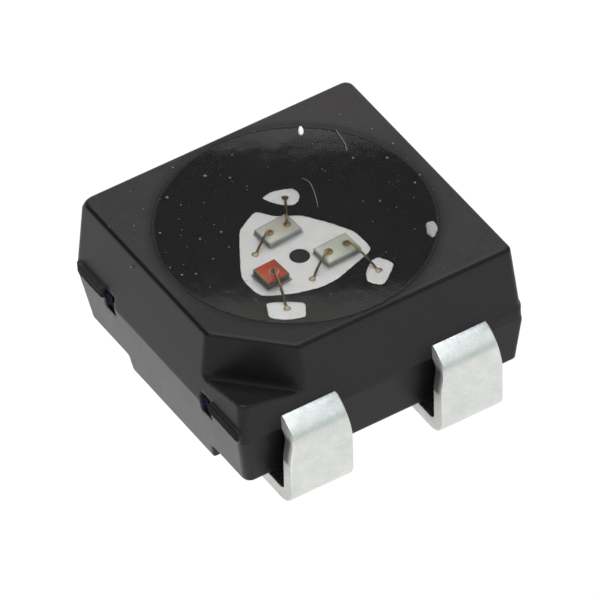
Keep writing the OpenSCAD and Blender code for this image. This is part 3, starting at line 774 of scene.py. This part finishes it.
def lead_shell(name):
    """Outer part of a lead on +X, about y = 0: out of the wall, round the upper bend, down, and back under."""
    t = SHEET_T
    zm = SHEET_Z - t / 2
    path = []          # (x, z, tangent angle from +X downwards, width)
    for x in np.linspace(WALL_X - 0.22, FACE_X - R_TOP, 6)[:-1]:
        path.append((x, zm, 0.0))
    for a in np.linspace(0, 90, 30):
        q = math.radians(a)
        path.append((FACE_X - R_TOP + (R_TOP - t / 2) * math.sin(q), SHEET_Z - R_TOP + (R_TOP - t / 2) * math.cos(q), a))
    for z in np.linspace(SHEET_Z - R_TOP, R_FOOT, 16)[1:-1]:
        path.append((FACE_X - t / 2, z, 90.0))
    for a in np.linspace(0, 90, 26):
        q = math.radians(a)
        path.append((FACE_X - R_FOOT + (R_FOOT - t / 2) * math.cos(q), R_FOOT - (R_FOOT - t / 2) * math.sin(q), 90 + a))
    for x in np.linspace(FACE_X - R_FOOT, FACE_X - FOOT, 9)[1:]:
        path.append((x, t / 2, 180.0))
    rings = []
    m = len(path)
    for i, (x, z, a) in enumerate(path):
        s = np.clip((SHEET_B + 0.01 - z) / 0.34, 0, 1)
        s = s * s * (3 - 2 * s)
        w = NECK + (WIDE - NECK) * s
        q = math.radians(a)
        nx, nz = math.sin(q), math.cos(q)      # outward normal of the outer face
        shrink = 0.0
        if i == m - 1:
            shrink = 0.010
        ring = []
        for (u, v) in round_rect(w - 2 * shrink, t - 2 * shrink, 0.016 - shrink * 0.5, 4):
            ring.append((x + nx * v, -u, z + nz * v))
        rings.append(ring)
        if i == m - 2:
            pass
    v, f = tube(rings)
    return new_mesh(name, v, f, scale=1)


def arm(name, P):
    return prism(name, [(x, y + LEAD_DY) for x, y in P], SHEET_B, SHEET_Z)


N0, N1, NX = LEAD_Y - NECK / 2, LEAD_Y + NECK / 2, WALL_X - 0.14
PLANS = {
    "common_lead": (WIN_CENTRE, [(-0.10, -0.60), (-0.64, -0.20), (-1.02, -0.49), (-1.15, -N0), (-NX, -N0), (-NX, -N1), (-0.92, -N1), (-0.40, -0.86)], -1, -1),
    "red_lead": (WIN_RED, [(0.56, -0.36), (0.72, -0.40), (1.02, -N0), (NX, -N0), (NX, -N1), (0.98, -N1), (0.52, -0.68)], 1, -1),
    "green_lead": (WIN_GREEN, [(0.56, 0.52), (0.76, 0.42), (1.06, N0), (NX, N0), (NX, N1), (0.96, N1), (0.54, 0.66)], 1, 1),
    "blue_lead": (WIN_BLUE, [(-0.70, 0.42), (-0.86, 0.20), (-1.06, 0.44), (-1.18, N0), (-NX, N0), (-NX, N1), (-1.02, N1), (-0.74, 0.56)], -1, 1),
}
leads = {}
for node, (win, plan, sx, sy) in PLANS.items():
    ob = lead_shell(node + "_piece")
    if sx < 0:
        ob.data.transform(mathutils.Matrix.Diagonal((-1, 1, 1, 1)))
        ob.data.flip_normals()
    ob.data.transform(mathutils.Matrix.Translation((0, sy * LEAD_Y + LEAD_DY, 0)))
    bm = bmesh.new()
    bm.from_mesh(ob.data)
    bmesh.ops.recalc_face_normals(bm, faces=bm.faces)
    bm.to_mesh(ob.data)
    bm.free()
    boolean(ob, arm("arm", plan), "UNION")
    plate = [tuple(np.array(p) + SHIFT) for p in grow(win, 0.018)]
    boolean(ob, prism("plate", plate, SHEET_B, SHEET_Z), "UNION")
    if node == "common_lead":
        hole = [(SHIFT[0] + 0.102 * math.cos(a), SHIFT[1] + 0.102 * math.sin(a)) for a in np.linspace(0, 2 * math.pi, 73)[:-1]]
        boolean(ob, prism("hole", hole, SHEET_B - 0.1, SHEET_Z + 0.1), "DIFFERENCE")
    finish_mesh(ob, 35)
    leads[node] = ob

# cut ends of the tie bars: sheared faces, a little torn at the lower lip
stub_parts = []
for xc in STUBS:
    for sy in (-1, 1):
        rings = []
        for y, g in ((1.28, 0.0), (1.570, 0.0), (1.588, 0.0), (1.595, 0.004), (1.598, 0.010)):
            ring = []
            for i, (u, v) in enumerate(round_rect(0.10 - 2 * g, 0.10 - 2 * g, 0.012 - g * 0.6, 3)):
                tear = 0.003 * math.sin(7 * i + 31 * xc) if g else 0
                ring.append((xc + u + tear, sy * (y + tear * 0.6 if g == 0.004 else y), SHEET_B + 0.05 + v))
            rings.append(ring)
        v, f = tube(rings)
        o = new_mesh("stub", v, f, scale=1)
        bm = bmesh.new()
        bm.from_mesh(o.data)
        bmesh.ops.recalc_face_normals(bm, faces=bm.faces)
        bm.to_mesh(o.data)
        bm.free()
        stub_parts.append(o)
stubs = finish_mesh(join(stub_parts, "tie_bar_stub_ends"), 35)


# ---------------------------------------------------------------- cast fill
FILL_Z, SAG = TOP - 0.002, 0.024
FILL_R = CUP_F + SLOPE * (FILL_Z - FLOOR_Z)


def fill_z(x, y):
    """Height of the fill: a shallow dish, almost flush with the rim."""
    t = min(1.0, math.hypot(x - CUP_X, y) / FILL_R)
    return FILL_Z - SAG * (1 - t * t)


def fill_mesh():
    n = 192
    prof = [(FILL_R * t, FILL_Z - SAG * (1 - t * t)) for t in np.linspace(0, 1.004, 49)[1:]]
    prof.append((FILL_R + 0.009, FILL_Z - 0.004))
    for t in np.linspace(0, 1, 10)[1:]:
        z = FILL_Z - 0.004 + (FLOOR_Z - FILL_Z) * t
        prof.append((CUP_F + SLOPE * (z - FLOOR_Z) + 0.006, z))
    prof.append((0.984, 1.050))
    prof.append((0.5, 1.050))
    a = np.arange(n) * 2 * math.pi / n
    v, f = [(CUP_X, 0, FILL_Z - SAG)], []
    for r, z in prof:
        v += [(CUP_X + r * math.cos(q), r * math.sin(q), z) for q in a]
    v.append((CUP_X, 0, 1.050))
    for i in range(n):
        f.append((0, 1 + i, 1 + (i + 1) % n))
    for j in range(len(prof) - 1):
        for i in range(n):
            p, q = 1 + j * n + i, 1 + j * n + (i + 1) % n
            f.append((p, p + n, q + n, q))
    last = 1 + (len(prof) - 1) * n
    for i in range(n):
        f.append((len(v) - 1, last + (i + 1) % n, last + i))
    ob = new_mesh("cast_fill", v, f)
    ob.data.set_sharp_from_angle(angle=math.radians(50))
    return ob


fill = fill_mesh()


# ---------------------------------------------------------------- chips
def chip(name, at, turn, lx, ly, h, mesa=0.010, step=0.005, taper=0.0):
    """Sawn block with a small step (mesa) round its top."""
    c = SHIFT + np.array(at)
    z0 = SHEET_Z + ATTACH_T
    levels = [(0.0, 0.0, taper), (0.0, 0.10, taper * 0.9), (0.0, 0.45, taper * 0.5), (0.0, 0.9, 0), (0.0015, 0.955, 0), (mesa * 0.8, 0.96, 0), (mesa, 0.965, 0), (mesa + 0.001, 0.995, 0), (mesa + 0.003, 1.0, 0)]
    rings = []
    for g, t, tp in levels:
        ring = []
        for i, (u, v) in enumerate(round_rect(lx - 2 * g + 2 * tp, ly - 2 * g + 2 * tp, 0.006 if g < 0.005 else 0.004, 3)):
            p = c + turned((u, v), turn)
            ring.append((p[0], p[1], z0 + h * t))
        rings.append(ring)
    v, f = tube(rings)
    ob = new_mesh(name, v, f)
    ob.data.set_sharp_from_angle(angle=math.radians(30))
    return ob


chips = {
    "red_die": chip("red_chip", RED_AT, RED_TURN, RED_S, RED_S, RED_H),
    "green_die": chip("green_chip", GREEN_AT, GREEN_TURN, LONG_W, LONG_L, LONG_H),
    "blue_die": chip("blue_chip", BLUE_AT, BLUE_TURN, LONG_W, LONG_L, LONG_H),
}


def bond_line(name, at, turn, lx, ly, over, seed):
    """Thin squeezed-out layer under a chip, with a soft uneven edge."""
    r = np.random.default_rng(seed)
    c = SHIFT + np.array(at)
    n = 96
    rings = []
    ph = r.uniform(0, 6.28, 6)
    outline = []
    for i in range(n):
        a = 2 * math.pi * i / n
        ca, sa = math.cos(a), math.sin(a)
        k = 1 / max(abs(ca) / (lx / 2), abs(sa) / (ly / 2))
        p = np.array([ca * k, sa * k])
        w = 0.5 + 0.5 * sum(math.sin((j + 2) * a + ph[j]) / (j + 1.5) for j in range(6)) / 1.2
        outline.append((p, np.array([ca, sa]), w))
    for z, g in ((0.0, 1.0), (0.003, 1.0), (0.007, 0.75), (ATTACH_T * 0.92, 0.35), (ATTACH_T, 0.0)):
        ring = []
        for p, d, w in outline:
            q = p + d * over * g * (0.35 + 0.65 * max(0.0, min(1.0, w)))
            q = c + turned(q, turn)
            ring.append((q[0], q[1], SHEET_Z + z))
        rings.append(ring)
    v, f = tube(rings)
    return new_mesh(name, v, f)


bonds = {
    "red_die_attach": bond_line("red_bond_line", RED_AT, RED_TURN, RED_S, RED_S, 0.030, 3),
    "green_die_attach": bond_line("green_bond_line", GREEN_AT, GREEN_TURN, LONG_W, LONG_L, 0.018, 4),
    "blue_die_attach": bond_line("blue_bond_line", BLUE_AT, BLUE_TURN, LONG_W, LONG_L, 0.018, 5),
}


def contact_disc(at, turn, p, z):
    c = on_chip(at, turn, p)
    n = 48
    rings = []
    for g, dz in ((0.0, 0.0), (0.0, 0.6), (0.0015, 0.9), (0.004, 1.0), (0.030, 1.0)):
        r = CONTACT_D / 2 - g
        rings.append([(c[0] + r * math.cos(2 * math.pi * i / n), c[1] + r * math.sin(2 * math.pi * i / n), z + CONTACT_T * dz) for i in range(n)])
    return tube(rings)


def merged(name, parts, smooth=True):
    v, f = [], []
    for pv, pf in parts:
        o = len(v)
        v += list(pv)
        f += [tuple(i + o for i in q) for q in pf]
    return new_mesh(name, v, f, smooth)


CHIP_Z = SHEET_Z + ATTACH_T
pads = {
    "red_die_pad": merged("red_contact", [contact_disc(RED_AT, RED_TURN, RED_PAD, CHIP_Z + RED_H)]),
    "green_die_pads": merged("green_contacts", [contact_disc(GREEN_AT, GREEN_TURN, p, CHIP_Z + LONG_H) for p in (LONG_PAD_A, LONG_PAD_B)]),
    "blue_die_pads": merged("blue_contacts", [contact_disc(BLUE_AT, BLUE_TURN, p, CHIP_Z + LONG_H) for p in (LONG_PAD_A, LONG_PAD_B)]),
}
for o in pads.values():
    o.data.set_sharp_from_angle(angle=math.radians(40))


# ---------------------------------------------------------------- bond wires
def wire(name, start, z_from, end, rise):
    """Ball, loop and flat stitch, along the CAD wire's own line."""
    start, end = np.array(start), np.array(end)
    d = end - start
    length = np.linalg.norm(d)
    u = d / length
    nrm = np.array([u[1], -u[0]])
    r, rb = WIRE_D / 2, BALL_D / 2
    drop = z_from - SHEET_Z
    span = length - 0.05
    P = [np.array(p) for p in ([0.002, BALL_H + 0.03], [0.01, rise * 1.35], [0.50 * span, rise], [span, 0.9 * r - drop])]
    pts, hw, hh = [], [], []
    for z, w in ((0.0, 0.80), (0.10, 0.95), (0.30, 1.0), (0.55, 0.99), (0.75, 0.92), (0.9, 0.76), (1.0, 0.56), (1.12, 0.42), (1.3, 0.36)):
        pts.append((0.0, BALL_H * z))
        hw.append(rb * w)
        hh.append(rb * w)
    N = 34
    for i in range(N + 1):
        t = i / N
        q = (1 - t) ** 3 * P[0] + 3 * (1 - t) ** 2 * t * P[1] + 3 * (1 - t) * t * t * P[2] + t ** 3 * P[3]
        pts.append(tuple(q))
        hw.append(r)
        hh.append(r if i < N else 0.9 * r)
    for dx, h, w in ((0.008, 0.0105, 0.0175), (0.016, 0.0090, 0.023), (0.024, 0.0078, 0.031), (0.034, 0.0068, 0.036), (0.046, 0.0058, 0.0365), (0.058, 0.0050, 0.032), (0.065, 0.0045, 0.023)):
        pts.append((span + dx, h - drop))
        hw.append(w)
        hh.append(h)
    m = len(pts)
    rings = []
    for i, (p, w, h) in enumerate(zip(pts, hw, hh)):
        if i < 9:
            dr = np.array([0.0, 1.0])
        elif i > m - 8:
            dr = np.array([1.0, 0.0])
        else:
            dr = np.array(pts[i + 1]) - np.array(pts[i - 1])
            dr = dr / np.linalg.norm(dr)
        ring = []
        for k in range(16):
            a = 2 * math.pi * (k + 0.5) / 16
            o = h * math.sin(a)
            hx, z = p[0] - dr[1] * o, p[1] + dr[0] * o
            xy = start + u * hx + nrm * w * math.cos(a)
            ring.append((xy[0], xy[1], z_from + z))
        rings.append(ring)
    v, f = tube(rings)
    ob = new_mesh(name, v, f)
    bm = bmesh.new()
    bm.from_mesh(ob.data)
    bmesh.ops.recalc_face_normals(bm, faces=bm.faces)
    bm.to_mesh(ob.data)
    bm.free()
    ob.data.set_sharp_from_angle(angle=math.radians(60))
    return ob


LONG_TOP = CHIP_Z + LONG_H + CONTACT_T
RED_TOP = CHIP_Z + RED_H + CONTACT_T
wires = {
    "red_wire": wire("red_bond_wire", on_chip(RED_AT, RED_TURN, RED_PAD), RED_TOP, SHIFT + RED_STITCH, 0.085),
    "green_wire_signal": wire("green_signal_bond_wire", on_chip(GREEN_AT, GREEN_TURN, LONG_PAD_B), LONG_TOP, SHIFT + GREEN_STITCH_S, 0.10),
    "green_wire_common": wire("green_common_bond_wire", on_chip(GREEN_AT, GREEN_TURN, LONG_PAD_A), LONG_TOP, SHIFT + GREEN_STITCH_C, 0.09),
    "blue_wire_signal": wire("blue_signal_bond_wire", on_chip(BLUE_AT, BLUE_TURN, LONG_PAD_B), LONG_TOP, SHIFT + BLUE_STITCH_S, 0.10),
    "blue_wire_common": wire("blue_common_bond_wire", on_chip(BLUE_AT, BLUE_TURN, LONG_PAD_A), LONG_TOP, SHIFT + BLUE_STITCH_C, 0.09),
}


# ---------------------------------------------------------------- dust and lint on the top
def crumb(c, size, seed):
    r = np.random.default_rng(seed)
    n, k = 8, 5
    v, f = [], []
    sx, sy, sz = size * r.uniform(0.7, 1.3, 3) * (1, 1, 0.45)
    for j in range(k):
        th = math.pi * (j + 0.5) / k
        for i in range(n):
            ph = 2 * math.pi * i / n
            q = 1 + r.uniform(-0.22, 0.22)
            v.append((c[0] + sx * q * math.sin(th) * math.cos(ph), c[1] + sy * q * math.sin(th) * math.sin(ph), c[2] + sz * 0.6 + sz * math.cos(th)))
    for j in range(k - 1):
        for i in range(n):
            a, b = j * n + i, j * n + (i + 1) % n
            f.append((a, a + n, b + n, b))
    f.append(tuple(range(n)))
    f.append(tuple((k - 1) * n + i for i in range(n - 1, -1, -1)))
    return v, f


def top_z(x, y):
    return fill_z(x, y) if math.hypot(x - CUP_X, y) < FILL_R else TOP


# ---------------------------------------------------------------- camera, floor and light
AZ, EL, ROLL, DIST, PXMM = 58.191, 43.826, -1.5, 110.0, 103.6625
a, e, ro = math.radians(AZ), math.radians(EL), math.radians(ROLL)
right = np.array([math.cos(a), math.sin(a), 0])
up = np.array([-math.sin(a) * math.sin(e), math.cos(a) * math.sin(e), math.cos(e)])
back = np.array([math.sin(a) * math.cos(e), -math.cos(a) * math.cos(e), math.sin(e)])
cr, sr = math.cos(ro), math.sin(ro)
right2, up2 = cr * right + sr * up, cr * up - sr * right
aim = np.array([0, 0, 1.1]) + right2 * 0.0223 - up2 * 0.2245
cam = bpy.data.cameras.new("camera")
cam_ob = bpy.data.objects.new("camera", cam)
bpy.context.scene.collection.objects.link(cam_ob)
bpy.context.scene.camera = cam_ob
cam.sensor_width = 36
cam.lens = 36 * DIST / (600 / PXMM)
cam.clip_start, cam.clip_end = 0.005, 2
rot = mathutils.Matrix((right2, up2, back)).transposed().to_4x4()
cam_ob.matrix_world = mathutils.Matrix.Translation(Vector((aim + back * DIST) * MM)) @ rot


def px_to_plane(u, v, z):
    """Where the line through a picture point (600 x 600) meets the height z, in millimetres."""
    eye = aim + back * DIST
    k = (600 / PXMM) / 600
    p = aim + right2 * (u - 300) * k - up2 * (v - 300) * k
    d = p - eye
    t = (z - eye[2]) / d[2]
    return eye + d * t


specks = [(205, 176, 12), (173, 168, 10), (167, 198, 15), (181, 205, 8), (160, 233, 9), (221, 232, 9), (229, 247, 8), (200, 239, 10),
          (132, 267, 16), (182, 275, 9), (196, 274, 8), (213, 259, 9), (170, 268, 8), (109, 227, 9), (134, 226, 8), (230, 178, 9),
          (232, 155, 8), (393, 144, 11), (387, 158, 9), (353, 158, 9), (372, 129, 9), (415, 183, 11), (420, 175, 9), (380, 201, 12)]
parts = []
for i, (u, v, s) in enumerate(specks):
    p = px_to_plane(u, v, TOP - 0.03)
    for _ in range(3):
        p = px_to_plane(u, v, top_z(p[0], p[1]))
    # past the edge of the top face a speck lies lower, on the wall
    while math.hypot(p[0] - CUP_X, p[1]) > FILL_R + 0.02 and p[2] > 1.0 and housing_field(*(np.array([c]) for c in p))[0] > 0.001:
        p = px_to_plane(u, v, p[2] - 0.002)
    parts.append(crumb(tuple(p), s * 0.001 * 1.15, 100 + i))
# a fine haze of much smaller specks over the fill and the rim
fine_rng = np.random.default_rng(7)
for i in range(150):
    x, y = fine_rng.uniform(-1.38, 1.30), fine_rng.uniform(-1.42, 1.45)
    if x - y > 2.05 or math.hypot(x - 0.1, y) < 0.62 or (x + 0.3 * y > 0.75 and i % 3):
        continue
    parts.append(crumb((x, y, top_z(x, y)), fine_rng.uniform(0.0028, 0.0065), 500 + i))
dust = merged("surface_dust", parts)


def fibre(pixels, r, lift):
    pts = []
    for (u, v) in pixels:
        p = px_to_plane(u, v, TOP - 0.03)
        for _ in range(3):
            p = px_to_plane(u, v, top_z(p[0], p[1]) + r)
        pts.append(p)
    pts = np.array(pts)
    t = np.linspace(0, len(pts) - 1, 26)
    line = []
    for q in t:
        i = min(int(q), len(pts) - 2)
        f = q - i
        p0, p1, p2, p3 = pts[max(i - 1, 0)], pts[i], pts[i + 1], pts[min(i + 2, len(pts) - 1)]
        line.append(0.5 * ((2 * p1) + (-p0 + p2) * f + (2 * p0 - 5 * p1 + 4 * p2 - p3) * f ** 2 + (-p0 + 3 * p1 - 3 * p2 + p3) * f ** 3))
    line = np.array(line)
    rings = []
    for i, p in enumerate(line):
        d = line[min(i + 1, len(line) - 1)] - line[max(i - 1, 0)]
        d = d / np.linalg.norm(d)
        s = np.cross(d, (0, 0, 1))
        s = s / np.linalg.norm(s)
        w = np.cross(s, d)
        k = r * (0.35 + 0.65 * math.sin(math.pi * min(max((i + 1) / (len(line) + 1), 0), 1)) ** 0.5)
        rings.append([tuple(p + (s * math.cos(2 * math.pi * j / 8) + w * math.sin(2 * math.pi * j / 8)) * k + np.array([0, 0, lift * math.sin(math.pi * i / (len(line) - 1))])) for j in range(8)])
    return tube(rings)


lint = merged("lint_fibres", [fibre([(336, 130), (341, 138), (345, 144), (347, 151)], 0.0065, 0.003),
                              fibre([(302, 178), (309, 182), (313, 189), (316, 198), (318, 207)], 0.0042, 0.003)])
# pale crumb stuck to the back of the fill
b0 = px_to_plane(301, 131.2, fill_z(-1.1, 0.77))
crumb_v, crumb_f = crumb((b0[0], b0[1], fill_z(b0[0], b0[1]) - 0.004), 0.027, 77)
long_v = []
for cx, cy, cz in crumb_v:                          # twice as long as wide, lying down the slope of the fill
    go = 1.25 * ((cx - b0[0]) * 0.85 - (cy - b0[1]) * 0.527)
    ux, uy = cx + 0.85 * go, cy - 0.527 * go
    long_v.append((ux, uy, cz + fill_z(ux, uy) - fill_z(b0[0], b0[1])))
crumb_ob = merged("pale_crumb", [(long_v, crumb_f)])
# pale flattened smear on the rim of the cup
SMEAR_TURN = math.radians(-35)
n0 = px_to_plane(431.8, 228.5, TOP)
sv, sf = [], []
for j in range(9):
    th = math.pi / 2 * j / 8
    for i in range(28):
        ph = 2 * math.pi * i / 28
        q = 1 + 0.10 * math.sin(2 * ph + 0.6) + 0.07 * math.sin(5 * ph) + 0.05 * math.sin(3 * ph + 2)
        lx, ly = 0.105 * q * math.cos(th) * math.cos(ph), 0.060 * q * math.cos(th) * math.sin(ph)
        wob = 1 + 0.25 * math.sin(6 * ph + 3 * th) * math.cos(th)
        ax, ay = math.cos(SMEAR_TURN), math.sin(SMEAR_TURN)
        sv.append((n0[0] + lx * ax - ly * ay, n0[1] + lx * ay + ly * ax, TOP - 0.012 + 0.028 * wob * math.sin(th) ** 0.8))
for j in range(8):
    for i in range(28):
        p, q = j * 28 + i, j * 28 + (i + 1) % 28
        sf.append((p, q, q + 28, p + 28))
sf.append(tuple(range(27, -1, -1)))
sf.append(tuple(8 * 28 + i for i in range(28)))
smear = merged("rim_smear", [(sv, sf)])

# ---------------------------------------------------------------- materials onto the pieces
M_BODY, M_LINING, M_RESIN, M_LEAD, M_CUT = mat_moulding(), mat_lining(), mat_resin(), mat_plating(), mat_cut_metal()
M_RED = mat_red_chip()
M_GREEN = mat_pale_chip("green_chip_mat", GREEN_AT, GREEN_TURN, (0.82, 0.86, 0.70), (0.70, 0.80, 0.58))
M_BLUE = mat_pale_chip("blue_chip_mat", BLUE_AT, BLUE_TURN, (0.78, 0.75, 0.64), (0.62, 0.60, 0.62))
M_WIRE, M_PAD = mat_gold("gold_wire_mat", 0.34, 0.75, (0.66, 0.47, 0.24)), mat_gold("gold_contact_mat", 0.48, 0.90, (0.74, 0.62, 0.38), 0.2)
M_SILVER = mat_adhesive("silver_adhesive_mat", (0.42, 0.42, 0.40), (0.60, 0.60, 0.57), 0.45)
M_CLEAR = mat_adhesive("clear_adhesive_mat", (0.62, 0.62, 0.58), (0.74, 0.74, 0.70), 0.25)
M_DUST = mat_dust()


def dress(ob, mat, slot=None, *nodes):
    ob.data.materials.clear()
    ob.data.materials.append(mat)
    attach(ob, "root")
    if nodes:
        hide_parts(*nodes)


dress(housing, M_BODY, "black_moulding", "housing")
dress(cup_lining, M_LINING, "black_moulding", "housing")
dress(fill, M_RESIN, "clear_resin", "encapsulant")
for n, o in leads.items():
    dress(o, M_LEAD, "plated_lead", n)
dress(stubs, M_CUT, "bare_sheet_metal", "tie_bar_stubs")
dress(chips["red_die"], M_RED, "red_chip", "red_die")
dress(chips["green_die"], M_GREEN, "pale_chip", "green_die")
dress(chips["blue_die"], M_BLUE, "pale_chip", "blue_die")
for n, o in bonds.items():
    dress(o, M_SILVER if n.startswith("red") else M_CLEAR, "silver_adhesive" if n.startswith("red") else "clear_adhesive", n)
for n, o in pads.items():
    dress(o, M_PAD, "gold_contact", n)
for n, o in wires.items():
    dress(o, M_WIRE, "gold_wire", n)
for o in (dust, lint):
    dress(o, M_DUST)
dress(crumb_ob, mat_dust("pale_crumb_mat", (0.85, 0.85, 0.88), (0.95, 0.95, 0.97)))
dress(smear, mat_dust("rim_smear_mat", (0.26, 0.27, 0.26), (0.42, 0.43, 0.41)))

# floor: a plain white sheet, lit from within as a light table is, with a strip beside the -Y wall glowing brighter as a
# painted pool of light
fm = bpy.data.materials.new("floor_mat")
fm.use_nodes = True
nt = fm.node_tree
nt.nodes.clear()
out = nt.nodes.new("ShaderNodeOutputMaterial")
em = nt.nodes.new("ShaderNodeEmission")
em.inputs["Color"].default_value = (1, 1, 1, 1)
tc = nt.nodes.new("ShaderNodeTexCoord")
sep = nt.nodes.new("ShaderNodeSeparateXYZ")
nt.links.new(tc.outputs["Object"], sep.inputs[0])
side = nt.nodes.new("ShaderNodeMapRange")
side.interpolation_type = "SMOOTHSTEP"
side.inputs["From Min"].default_value = -0.00212
side.inputs["From Max"].default_value = -0.00194
side.inputs["To Min"].default_value = 1.03
side.inputs["To Max"].default_value = 1.33
nt.links.new(sep.outputs[1], side.inputs["Value"])
far = nt.nodes.new("ShaderNodeMapRange")
far.interpolation_type = "SMOOTHSTEP"
far.inputs["From Min"].default_value = -0.00148
far.inputs["From Max"].default_value = -0.00136
far.inputs["To Min"].default_value = 1.0
far.inputs["To Max"].default_value = 1.03 / 1.33
nt.links.new(sep.outputs[1], far.inputs["Value"])
mul = nt.nodes.new("ShaderNodeMath")
mul.operation = "MULTIPLY"
nt.links.new(side.outputs[0], mul.inputs[0])
nt.links.new(far.outputs[0], mul.inputs[1])
nt.links.new(mul.outputs[0], em.inputs["Strength"])
nt.links.new(em.outputs[0], out.inputs[0])
floor = new_mesh("floor", [(-60, -60, 0), (60, -60, 0), (60, 60, 0), (-60, 60, 0)], [(0, 1, 2, 3)], smooth=False)
floor.data.materials.append(fm)

BACK_LOW, GAP, BACK_HIGH = (0.92, 0.91, 0.88), (0.31, 0.31, 0.315), (1.12, 1.12, 1.15)
TOP_BOX, RIGHT_BOX, KEY_BOX, FRONT_BOX = (1.32, 1.38, 1.48), (1.04, 1.11, 1.14), (4.0, 4.0, 3.9), (2.1, 2.1, 2.05)
# room: dim grey walls with soft boxes overhead, to the right, at the back and over the front
world = bpy.data.worlds.new("room")
bpy.context.scene.world = world
world.use_nodes = True
nt = world.node_tree
nt.nodes.clear()
out = nt.nodes.new("ShaderNodeOutputWorld")
bg = nt.nodes.new("ShaderNodeBackground")
tc = nt.nodes.new("ShaderNodeTexCoord")
sky = tc.outputs["Generated"]
sep = nt.nodes.new("ShaderNodeSeparateXYZ")
nt.links.new(sky, sep.inputs[0])
asin = nt.nodes.new("ShaderNodeMath")
asin.operation = "ARCSINE"
nt.links.new(sep.outputs[2], asin.inputs[0])
el_deg = nt.nodes.new("ShaderNodeMath")
el_deg.operation = "MULTIPLY"
nt.links.new(asin.outputs[0], el_deg.inputs[0])
el_deg.inputs[1].default_value = 180 / math.pi


def w_span(value, a, b, lo, hi):
    n = nt.nodes.new("ShaderNodeMapRange")
    n.interpolation_type = "SMOOTHSTEP"
    for k, val in (("From Min", a), ("From Max", b), ("To Min", lo), ("To Max", hi)):
        n.inputs[k].default_value = val
    nt.links.new(value, n.inputs["Value"])
    return n.outputs[0]


def w_mul(a, b):
    n = nt.nodes.new("ShaderNodeMath")
    n.operation = "MULTIPLY"
    nt.links.new(a, n.inputs[0])
    nt.links.new(b, n.inputs[1])
    return n.outputs[0]


def w_lobe(direction, inner, outer):
    """1 within inner degrees of a direction, 0 beyond outer."""
    d = np.array(direction, float)
    d /= np.linalg.norm(d)
    n = nt.nodes.new("ShaderNodeVectorMath")
    n.operation = "DOT_PRODUCT"
    nt.links.new(sky, n.inputs[0])
    n.inputs[1].default_value = d.tolist()
    return w_span(n.outputs["Value"], math.cos(math.radians(outer)), math.cos(math.radians(inner)), 0, 1)


def w_mix(fac, a, color):
    n = nt.nodes.new("ShaderNodeMix")
    n.data_type = "RGBA"
    nt.links.new(fac, n.inputs[0])
    if isinstance(a, bpy.types.NodeSocket):
        nt.links.new(a, n.inputs[6])
    else:
        n.inputs[6].default_value = (*a, 1)
    n.inputs[7].default_value = (*color, 1)
    return n.outputs[2]


EL = el_deg.outputs[0]
back_side = w_lobe((-0.85, 0.527, 0.25), 52, 66)
tone = w_mix(w_span(EL, 2, 10, 0, 1), (0.40, 0.40, 0.40), (0.14, 0.14, 0.145))
tone = w_mix(w_mul(back_side, w_span(EL, 40.6, 41.6, 1, 0)), tone, BACK_LOW)
tone = w_mix(w_mul(w_lobe((-0.75, 0.46, 0.48), 40, 52), w_mul(w_span(EL, 40.6, 41.6, 0, 1), w_span(EL, 46.0, 46.7, 1, 0))), tone, GAP)
tone = w_mix(w_mul(w_lobe((-0.45, 0.28, 0.85), 28, 36), w_span(EL, 46.0, 46.7, 0, 1)), tone, BACK_HIGH)
tone = w_mix(w_lobe((0.12, 0.16, 1.0), 20, 32), tone, TOP_BOX)
tone = w_mix(w_mul(w_lobe((0.80, 0.45, 0.25), 32, 44), w_span(EL, 20, 32, 1, 0)), tone, (0.66, 0.72, 0.71))
tone = w_mix(w_mul(w_lobe((0.75, 0.42, 0.50), 27, 37), w_span(EL, 13, 25, 0, 1)), tone, RIGHT_BOX)
tone = w_mix(w_lobe((-0.32, 0.20, 0.93), 12, 22), tone, KEY_BOX)
tone = w_mix(w_lobe((0.55, -0.15, 0.82), 14, 22), tone, FRONT_BOX)
nt.links.new(tone, bg.inputs["Color"])
bg.inputs["Strength"].default_value = 1.0
nt.links.new(bg.outputs[0], out.inputs[0])

bpy.context.scene.view_settings.view_transform = "Standard"
bpy.context.scene.view_settings.look = "None"

for o in list(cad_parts.values()):
    if not o.hide_render:
        print("CAD node still shown:", o.name)
